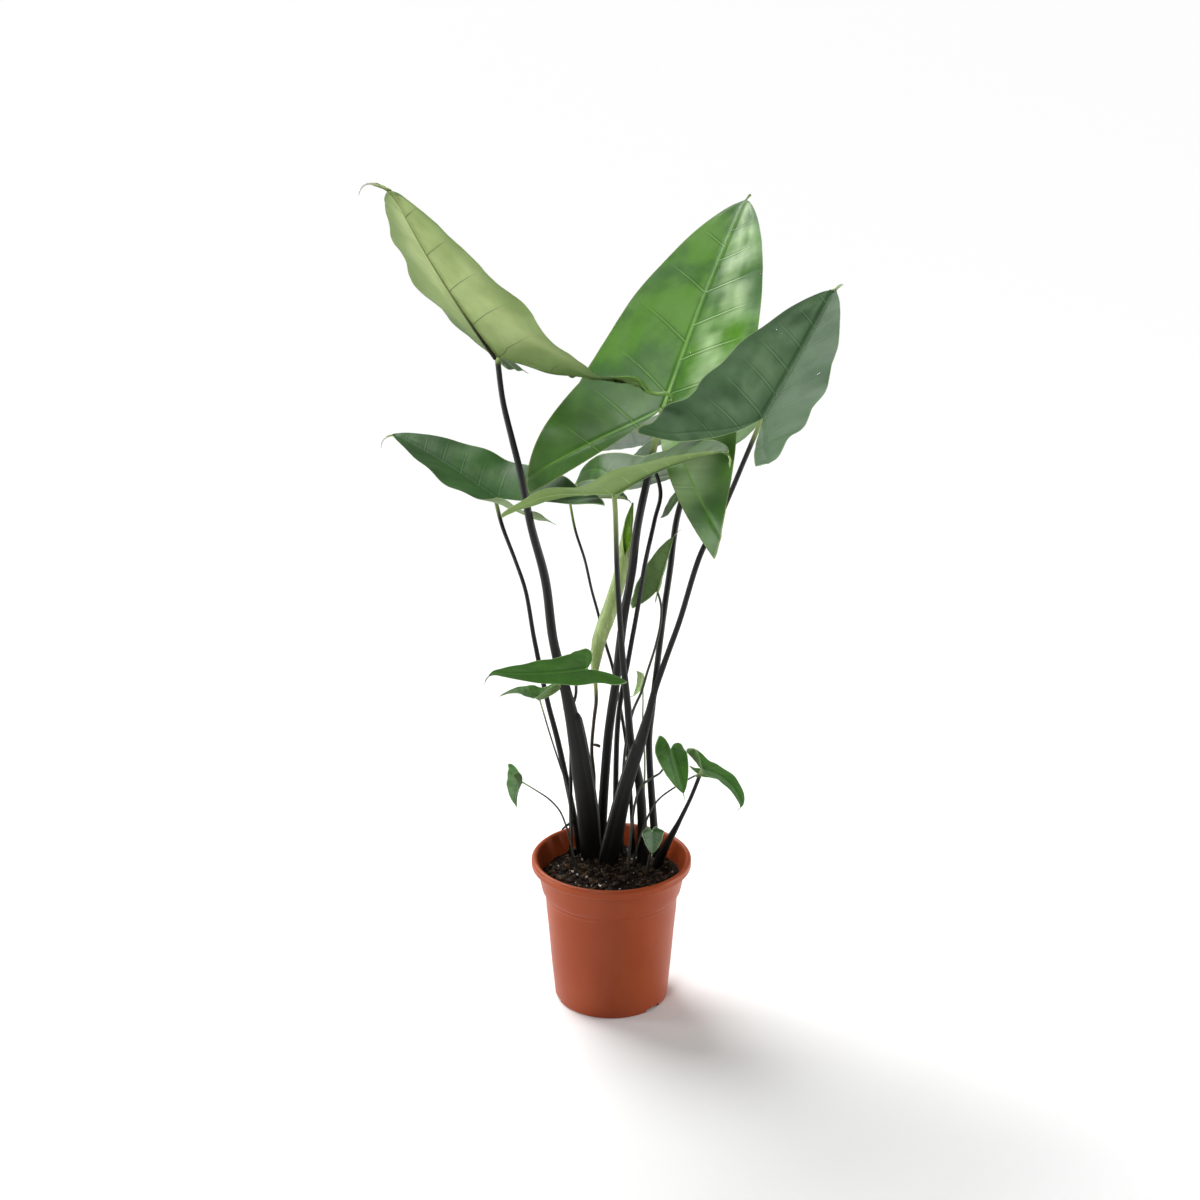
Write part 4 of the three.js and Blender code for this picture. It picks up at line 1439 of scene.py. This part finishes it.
@dataclass
class PottingMix:
    """The potting mix: a lumpy bed with clods, crumbs, bark and white mineral grains on it."""

    floor: float = 5.85
    radius: float = 91.4
    strewn_radius: float = 88.0
    clear_radius: float = 90.0
    seed: int = 7
    kinds: tuple[Strewn, ...] = (
        Strewn("clods_on_mix", MixFinish("bark_clod", "0a0603", "513c27", 170.0, 0.85),
               230, (2.6, 8.0), (1.0, 0.6, 0.5), 0.3, 2),
        Strewn("crumbs_on_mix", MixFinish("peat_crumb", "0a0604", "38261a", 420.0),
               1500, (0.9, 3.0), (1.0, 0.85, 0.75), 0.3),
        Strewn("bark_on_mix", MixFinish("bark_bit", "1c1109", "523722", 260.0, 0.85),
               220, (2.0, 4.6), (1.0, 0.6, 0.4), 0.28),
        Strewn("fibres_on_mix", MixFinish("root_fibre", "33241a", "6d5338", 300.0),
               90, (3.0, 7.0), (1.0, 0.1, 0.1), 0.1),
        Strewn("grains_on_mix", MixFinish("mineral_grain", "b9b4a6", "eae7df", 500.0, 0.9),
               110, (0.8, 2.2), (1.0, 0.9, 0.8), 0.25, lift=1.6))

    @staticmethod
    def height(x: float, y: float) -> float:
        """Gives the bed's plain height, as in the source.

        Args:
            x: The distance to the right of the middle.
            y: The distance behind the middle.

        Returns:
            The height above the floor that the pot stands on.
        """
        mound = 5 * math.exp(-((x - 8) ** 2 + (y - 22) ** 2) / 55 ** 2)
        lumps = 1.6 * math.sin(0.23 * x + 0.8) * math.cos(0.19 * y) + 1.1 * math.sin(0.41 * x - 0.33 * y)
        return SOIL_LEVEL - 1 + mound + lumps

    def surface(self, x: float, y: float) -> float:
        """Gives the bed's height with its finer crumbs.

        Args:
            x: The distance to the right of the middle.
            y: The distance behind the middle.

        Returns:
            The height above the floor that the pot stands on.
        """
        spot = Vector((x, y, 0.0))
        rough = noise.noise(spot / 8) * 3.0 + noise.noise(spot / 2.8) * 1.6 + noise.noise(spot / 1.1) * 0.5
        return self.height(x, y) + rough - 0.6

    def build(self) -> None:
        """Builds the bed and what lies on it."""
        self._bed()
        rng = random.Random(self.seed)
        for strewn in self.kinds:
            self._scatter(strewn, rng)

    def _bed(self) -> None:
        """Builds the bed as a closed body that fills the pot."""
        top = SOIL_LEVEL
        profile = [(0, self.floor), (72.4, self.floor), (83.4, 144), (88.9, 158), (self.radius, top)]
        profile += [(self.radius * (1 - step / 64), top) for step in range(1, 65)]
        body = bmesh.new()
        fresh = lathe(body, profile, 200)
        for vert in fresh:
            if vert.co.z > top - 1:
                vert.co.z = self.surface(vert.co.x, vert.co.y)
        finish = MixFinish("potting_bed", "080503", "1e130d", 380.0)
        finished("potting_bed", body, [finish.make()], ("soil",))

    def _scatter(self, strewn: Strewn, rng: random.Random) -> None:
        """Strews bits of one kind over the bed.

        Args:
            strewn: The kind.
            rng: The source of chance.
        """
        body = bmesh.new()
        for _ in range(strewn.count):
            radius = self.strewn_radius * math.sqrt(rng.random())
            angle = rng.random() * 2 * math.pi
            size = mix(*strewn.sizes, rng.random() ** 2)
            reach = min(radius, self.clear_radius - size)
            x, y = reach * math.cos(angle), reach * math.sin(angle)
            turned = Matrix.Rotation(rng.random() * 6.3, 4, "Z")
            for axis in ("X", "Y"):
                turned = turned @ Matrix.Rotation(rng.gauss(0, 0.45), 4, axis)
            lift = self.surface(x, y) + size * strewn.shape[2] * 0.35 + strewn.lift
            scale = Matrix.Diagonal((*(size * part for part in strewn.shape), 1))
            made = bmesh.ops.create_icosphere(body, subdivisions=strewn.detail, radius=1.0,
                                              matrix=Matrix.Translation((x, y, lift)) @ turned @ scale)
            centre = Vector((x, y, lift))
            for vert in made["verts"]:
                vert.co = centre + (vert.co - centre) * (1 + rng.uniform(-strewn.uneven, strewn.uneven))
        finished(strewn.name, body, [strewn.finish.make()])


@dataclass(frozen=True)
class SoftBox:
    """A soft square light: its place, what it points at and its side in metres, its power in watts and
    how wide its beam is in degrees.
    """

    name: str
    place: Numbers
    target: Numbers
    side: float
    power: float
    spread: float = 180.0

    def hang(self) -> None:
        """Hangs the light and points it at its target."""
        lamp = bpy.data.lights.new(self.name, "AREA")
        lamp.spread = math.radians(self.spread)
        lamp.size = self.side
        lamp.energy = self.power
        holder = bpy.data.objects.new(self.name, lamp)
        holder.location = self.place
        heading = Vector(self.target) - Vector(self.place)
        holder.rotation_euler = heading.to_track_quat("-Z", "Y").to_euler()
        bpy.context.scene.collection.objects.link(holder)


@dataclass(frozen=True)
class Studio:
    """The floor, the soft lights and the camera, in metres and degrees."""

    floor_reach: float = 150.0
    floor_drop: float = 0.0002
    floor_shade: float = 0.98
    sky: float = 0.22
    key_source: Numbers = (-0.62, 0.8, 1.15)
    key_strength: float = 3.35
    key_width: float = 40.0
    boxes: tuple[SoftBox, ...] = (
        SoftBox("left_box", (-2.2, 0.1, 0.35), (0, 0, 0.2), 0.6, 26),
        SoftBox("right_box", (2.2, 0.1, 0.35), (0, 0, 0.2), 0.6, 28),
        SoftBox("front_box", (-0.8, -1.8, 2.6), (0, 0, 0.9), 0.8, 2.3, 24))
    camera_place: Numbers = (-0.015, -2.343, 1.348)
    camera_tilt: float = 71.3
    focal_pixels: float = 1967.0
    photo_pixels: float = 1200.0
    sensor: float = 36.0

    def _floor(self) -> None:
        """Lays a plain pale floor that runs far back, a hair below the pot."""
        body = bmesh.new()
        bmesh.ops.create_grid(body, x_segments=1, y_segments=1, size=self.floor_reach,
                              matrix=Matrix.Translation((0, 0, -self.floor_drop)))
        mesh = bpy.data.meshes.new("floor")
        body.to_mesh(mesh)
        body.free()
        ground = bpy.data.objects.new("floor", mesh)
        bpy.context.scene.collection.objects.link(ground)
        paint = Recipe("floor", Roughness=0.9, Specular_IOR_Level=0.1,
                       Base_Color=(self.floor_shade, self.floor_shade, self.floor_shade, 1))
        mesh.materials.append(paint.material)

    def _sky(self) -> None:
        """Sets the even light from all round."""
        world = bpy.data.worlds.new("studio")
        world.use_nodes = True
        background = world.node_tree.nodes["Background"]
        background.inputs["Color"].default_value = (1, 1, 1, 1)
        background.inputs["Strength"].default_value = self.sky
        bpy.context.scene.world = world

    def _key(self) -> None:
        """Adds the main light, far off and wide, so that it lights the whole floor alike."""
        lamp = bpy.data.lights.new("key", "SUN")
        lamp.energy = self.key_strength
        lamp.angle = math.radians(self.key_width)
        holder = bpy.data.objects.new("key", lamp)
        holder.rotation_euler = (-Vector(self.key_source)).to_track_quat("-Z", "Y").to_euler()
        bpy.context.scene.collection.objects.link(holder)

    def _camera(self) -> None:
        """Stands the camera where the photo was taken from."""
        camera = bpy.data.objects.new("camera", bpy.data.cameras.new("camera"))
        camera.location = self.camera_place
        camera.rotation_euler = (math.radians(self.camera_tilt), 0, 0)
        camera.data.sensor_width = self.sensor
        camera.data.lens = self.sensor * self.focal_pixels / self.photo_pixels
        bpy.context.scene.collection.objects.link(camera)
        bpy.context.scene.camera = camera

    def build(self) -> None:
        """Sets up everything round the plant."""
        bpy.context.scene.view_settings.view_transform = "Standard"
        self._floor()
        self._sky()
        self._key()
        for box in self.boxes:
            box.hang()
        self._camera()


LEAVES = (
    Leaf(name="upper_left", look=Look.OLIVE, joint=(-138, -20, 870), length=303, lobe=145, half=148,
         spread=(1.31, 1.1), bulge=(-0.26, 0.12), taper=(1.4, 0.6),
         yaw=230, pitch=47, roll=-55, fold=(52, -35), lobe_fold=(62, -30),
         bend=10, lobe_bend=26, curl=-65,
         stalk=((-132, -26, 818, 3.4), (-121, -30, 769, 3.8), (-111, -30, 725, 4.2), (-100, -26, 661, 5),
                (-83, -18, 587, 5.6), (-74, -8, 504, 6), (-59, 4, 432, 7.2), (-50, 12, 385, 9.5),
                (-40, 22, 313, 12.5), (-32, 34, 243, 13.4)),
         base=(-27, 46, 13.5), flat=0.7, green=14, rib_skin=Skin.BROWN_RIB, rib_reach=150, veins=(5, 5),
         rise=(0.8, 0.8), ragged=2.2, drip=(24, 1.5), roll_from=0.3, sheath=(1, 0.64, 3.0)),
    Leaf(name="tall", look=Look.BRIGHT, joint=(64, 50, 790), length=332, lobe=151, half=116,
         spread=(1.1, 1.3), bulge=(0.06, 0.3), taper=(0.6, 0.8),
         yaw=45, pitch=63, roll=31, fold=(-12, 26), lobe_fold=(8, 31),
         bend=-30, lobe_bend=-10, curl=-40,
         stalk=((53, 74, 733, 4.4), (46, 64, 700, 4.8), (32, 54, 631, 5.2), (26, 51, 578, 5.4),
                (15, 50, 511, 5.6), (6, 52, 427, 5.8), (-4, 58, 347, 6)),
         base=(-14, 74, 6.8), flat=0.9, green=120, rib_skin=Skin.GREEN_RIB, veins=(4.7, 7), first=(16, 16),
         ridge=1.2, quilt=0.4, drip=(5, 0.3), drops=((0.963, 0.723, 1.5), (0.09, 0.457, 1.6))),
    Leaf(name="right", look=Look.GREY, joint=(177, -75, 808), length=212, lobe=130, half=89,
         yaw=51, pitch=40, roll=-11, fold=(32, 8), lobe_fold=(37, 15),
         bend=4, lobe_bend=26, curl=-40,
         stalk=((161, -22, 743, 3), (147, 6, 694, 3.1), (133, 20, 654, 3.3), (111, 14, 610, 3.5),
                (86, 4, 527, 3.6), (68, -2, 475, 3.8), (55, -4, 435, 4.2), (48, -4, 405, 5.2),
                (37, 0, 362, 7.6), (18, 8, 291, 9), (4, 20, 220, 12)),
         base=(-4, 28, 13), flat=0.7, green=40, quilt=0.5, drip=(6, 0.5), sheath=(-1, 0.69, 2.4),
         drops=((-0.697, 0.712, 1.7), (-0.552, 0.697, 1.3), (0.741, 0.529, 1.6))),
    Leaf(name="front", look=Look.FRONT, joint=(2, -80, 716), length=192, lobe=56, half=82,
         spread=(1.25, 1.47), bulge=(0, -0.14),
         yaw=-35, pitch=37, roll=-8, fold=(25, 6), lobe_fold=(52, 19),
         bend=-24, lobe_bend=-34, curl=-130,
         stalk=((4, -58, 677, 3), (6, -36, 606, 3.2), (10, -18, 535, 3.6), (14, -4, 476, 4),
                (20, 10, 416, 4.6), (25, 20, 356, 5), (38, 26, 282, 6)),
         base=(42, 32, 7), flat=0.9, green=130, quilt=0.5, drip=(4, 0.5)),
    Leaf(name="left", look=Look.DEEP, joint=(-150, 92, 663), length=186, lobe=138, half=71,
         spread=(1.1, 0.85), bulge=(0.12, -0.08),
         yaw=148, pitch=26, roll=2, fold=(9, 20), lobe_fold=(32, 42),
         bend=-10, lobe_bend=18, curl=-60,
         stalk=((-141, 82, 629, 2.6), (-124, 68, 586, 2.4), (-111, 56, 550, 2.6), (-100, 54, 482, 3),
                (-84, 54, 398, 3.4), (-68, 56, 327, 3.8)),
         base=(-42, 62, 4.4), green=60, quilt=0.35, drip=(20, 1.4),
         stub=((-47, 60, 222, 2.2), (-57, 55, 219.5, 1.9), (-66, 50, 214, 1.1))),
    Leaf(name="tucked", look=Look.DEEP, joint=(-56, 184, 636), length=86, lobe=32, half=44,
         yaw=-14, pitch=9, roll=0, fold=(26, 34), lobe_fold=(-10, 36),
         bend=-12, lobe_bend=2, curl=-60,
         stalk=((-48, 162, 599, 1.8), (-35, 132, 566, 1.8), (-26, 112, 531, 1.8), (-18, 102, 504, 1.9),
                (-7, 97, 459, 2), (1, 94, 432, 2.1), (13, 86, 369, 2.2), (22, 78, 310, 2.4)),
         base=(30, 66, 3), green=70),
    Leaf(name="rear_middle", look=Look.DEEP, joint=(42, 150, 718), length=110, lobe=60, half=56,
         yaw=20, pitch=30, roll=0, fold=(10, 10), lobe_fold=(10, 10),
         bend=-20, lobe_bend=5, curl=-40,
         stalk=((63, 108, 668, 2.6), (55, 72, 639, 2.7), (42, 46, 586, 2.9), (33, 48, 525, 3),
                (23, 58, 460, 3.2), (9, 76, 361, 3.4)),
         base=(6, 75, 4), green=50),
    Leaf(name="rear_right", look=Look.OLIVE, joint=(104, 150, 684), length=150, lobe=80, half=62,
         yaw=20, pitch=40, roll=0, fold=(10, 10), lobe_fold=(10, 10),
         bend=-20, lobe_bend=5, curl=-40,
         stalk=((86, 136, 622, 4), (77, 122, 555, 4.1), (68, 110, 490, 4.1), (60, 95, 425, 4.1),
                (54, 78, 375, 4.2), (50, 66, 337, 4.3)),
         base=(60, 44, 5.5), green=50),
    Leaf(name="slender", look=Look.YOUNG, joint=(59, 78, 542), length=92, lobe=36, half=28,
         spread=(0.85, 0.85),
         yaw=308, pitch=70, roll=0, fold=(38, 38), lobe_fold=(38, 38),
         bend=-3, lobe_bend=1, curl=-30,
         stalk=((64, 74, 524, 1.5), (64, 74, 500, 1.5), (58, 72, 469, 1.6), (47, 66, 433, 1.7),
                (39, 60, 407, 1.8), (28, 54, 382, 1.8), (18, 46, 331, 1.9)),
         base=(14, 56, 2.4), green=15, quilt=0.4, skin=Skin.FINE, drip=(14, 0.1)),
    Leaf(name="low_left", look=Look.YOUNG, joint=(-31, -60, 485), length=164, lobe=53, half=36,
         spread=(0.99, 1.49), blunt=4,
         yaw=219, pitch=6, roll=-9, fold=(-4, 5), lobe_fold=(-7, 5),
         bend=13, lobe_bend=-13, curl=-110,
         stalk=((-41, -36, 466, 1.8), (-45, -14, 449, 1.9), (-46, 12, 423, 2), (-51, 28, 392, 2.1)),
         base=(-54, 46, 2.6), green=40, quilt=0.4, drip=(5, 1.0)),
    Leaf(name="lower_left", look=Look.YOUNG, joint=(-92, -10, 425), length=56, lobe=19, half=37,
         spread=(1.05, 0.97), blunt=4,
         yaw=166, pitch=28, roll=0, fold=(20, -1), lobe_fold=(70, 27),
         bend=-57, lobe_bend=-6, curl=-22,
         stalk=((-79, 0, 371, 1.1), (-67, 12, 324, 1.2), (-57, 22, 284, 1.3)),
         base=(-52, 30, 1.6), green=40, skin=Skin.FINE),
    Leaf(name="pale", look=Look.PALE, joint=(41, 82, 425), length=37, lobe=3, half=13,
         spread=(1.1, 1), blunt=3,
         yaw=195, pitch=-97, roll=-7, fold=(13, 13), lobe_fold=(20, 23),
         bend=67, lobe_bend=4, curl=33,
         stalk=((42, 86, 386, 1), (42, 86, 343, 1.1), (45, 84, 300, 1.2)),
         base=(41, 66, 1.6), green=90, skin=Skin.PALE, rib_skin=Skin.PALE, drip=(3, 0.3)),
    Leaf(name="outer_left", look=Look.YOUNG, joint=(-116, -20, 315), length=37, lobe=23, half=26,
         spread=(0.87, 1.07), blunt=3,
         yaw=207, pitch=-58, roll=-5, fold=(36, 14), lobe_fold=(66, 21),
         bend=-41, lobe_bend=24, curl=-19,
         stalk=((-99, -8, 298, 1), (-80, 4, 278, 1.1), (-65, 14, 252, 1.2)),
         base=(-47, 16, 1.6), green=60, skin=Skin.FINE),
    Leaf(name="heart", look=Look.YOUNG, joint=(76, -10, 356), length=88, lobe=32, half=21,
         spread=(1.04, 0.43), blunt=3,
         yaw=-80, pitch=-19, roll=10, fold=(-17, -8), lobe_fold=(-39, 42),
         bend=-1, lobe_bend=-3, curl=-65,
         stalk=((64, 6, 317, 1.4), (53, 12, 306, 1.5), (37, 4, 295, 1.6)),
         base=(22, 8, 2), green=30, skin=Skin.FINE),
    Leaf(name="outer_right", look=Look.YOUNG, joint=(117, -10, 328), length=82, lobe=20, half=34,
         spread=(1.22, 1.13), blunt=4,
         yaw=-11, pitch=-6, roll=-44, fold=(39, -29), lobe_fold=(63, 22),
         bend=-75, lobe_bend=-31, curl=-77,
         stalk=((102, 4, 278, 2.6), (90, 8, 248, 3)),
         base=(62, 26, 7), green=16),
    # The tiny leaf takes the deep look, whose darker colour paints in the shade low among the stalks
    Leaf(name="tiny", look=Look.DEEP, joint=(52, -25, 248), length=32, lobe=8, half=20,
         spread=(0.83, 0.77), blunt=3,
         yaw=-79, pitch=-63, roll=-41, fold=(16, -4), lobe_fold=(-12, 16),
         bend=-10, lobe_bend=5, curl=-22,
         stalk=((53, -6, 217, 1.4),),
         base=(46, 2, 1.8), green=30, skin=Skin.FINE, drip=(2, 0.5)),
    Leaf(name="hidden", look=Look.YOUNG, joint=(115, 40, 299), length=34, lobe=10, half=15,
         yaw=10, pitch=-10, roll=0, fold=(10, 10), lobe_fold=(10, 10),
         bend=-20, lobe_bend=0, curl=-40,
         stalk=((104, 36, 295, 1.2), (84, 30, 285, 1.2), (57, 14, 268, 1.3)),
         base=(28, 20, 1.6), green=30, skin=Skin.FINE),
)


def main() -> None:
    """Builds the plant, its pot and the studio."""
    logging.basicConfig(level=logging.INFO, format="%(message)s")
    Studio().build()
    Pot().build()
    PottingMix().build()
    skins = {skin: finish.make(skin.value) for skin, finish in SKINS.items()}
    blades = {look: (finish.top(), finish.below()) for look, finish in FINISHES.items()}
    water = water_finish()
    for leaf in LEAVES:
        finish = [*blades[leaf.look], skins[leaf.rib_skin], skins[Skin.DRY], skins[Skin.GREEN_RIB], water]
        Blade(leaf, finish).build()
        Petiole(leaf, [skins[leaf.skin], skins[Skin.EDGE]]).build()
    RolledLeaf().build(skins)


if __name__ == "__main__":
    main()
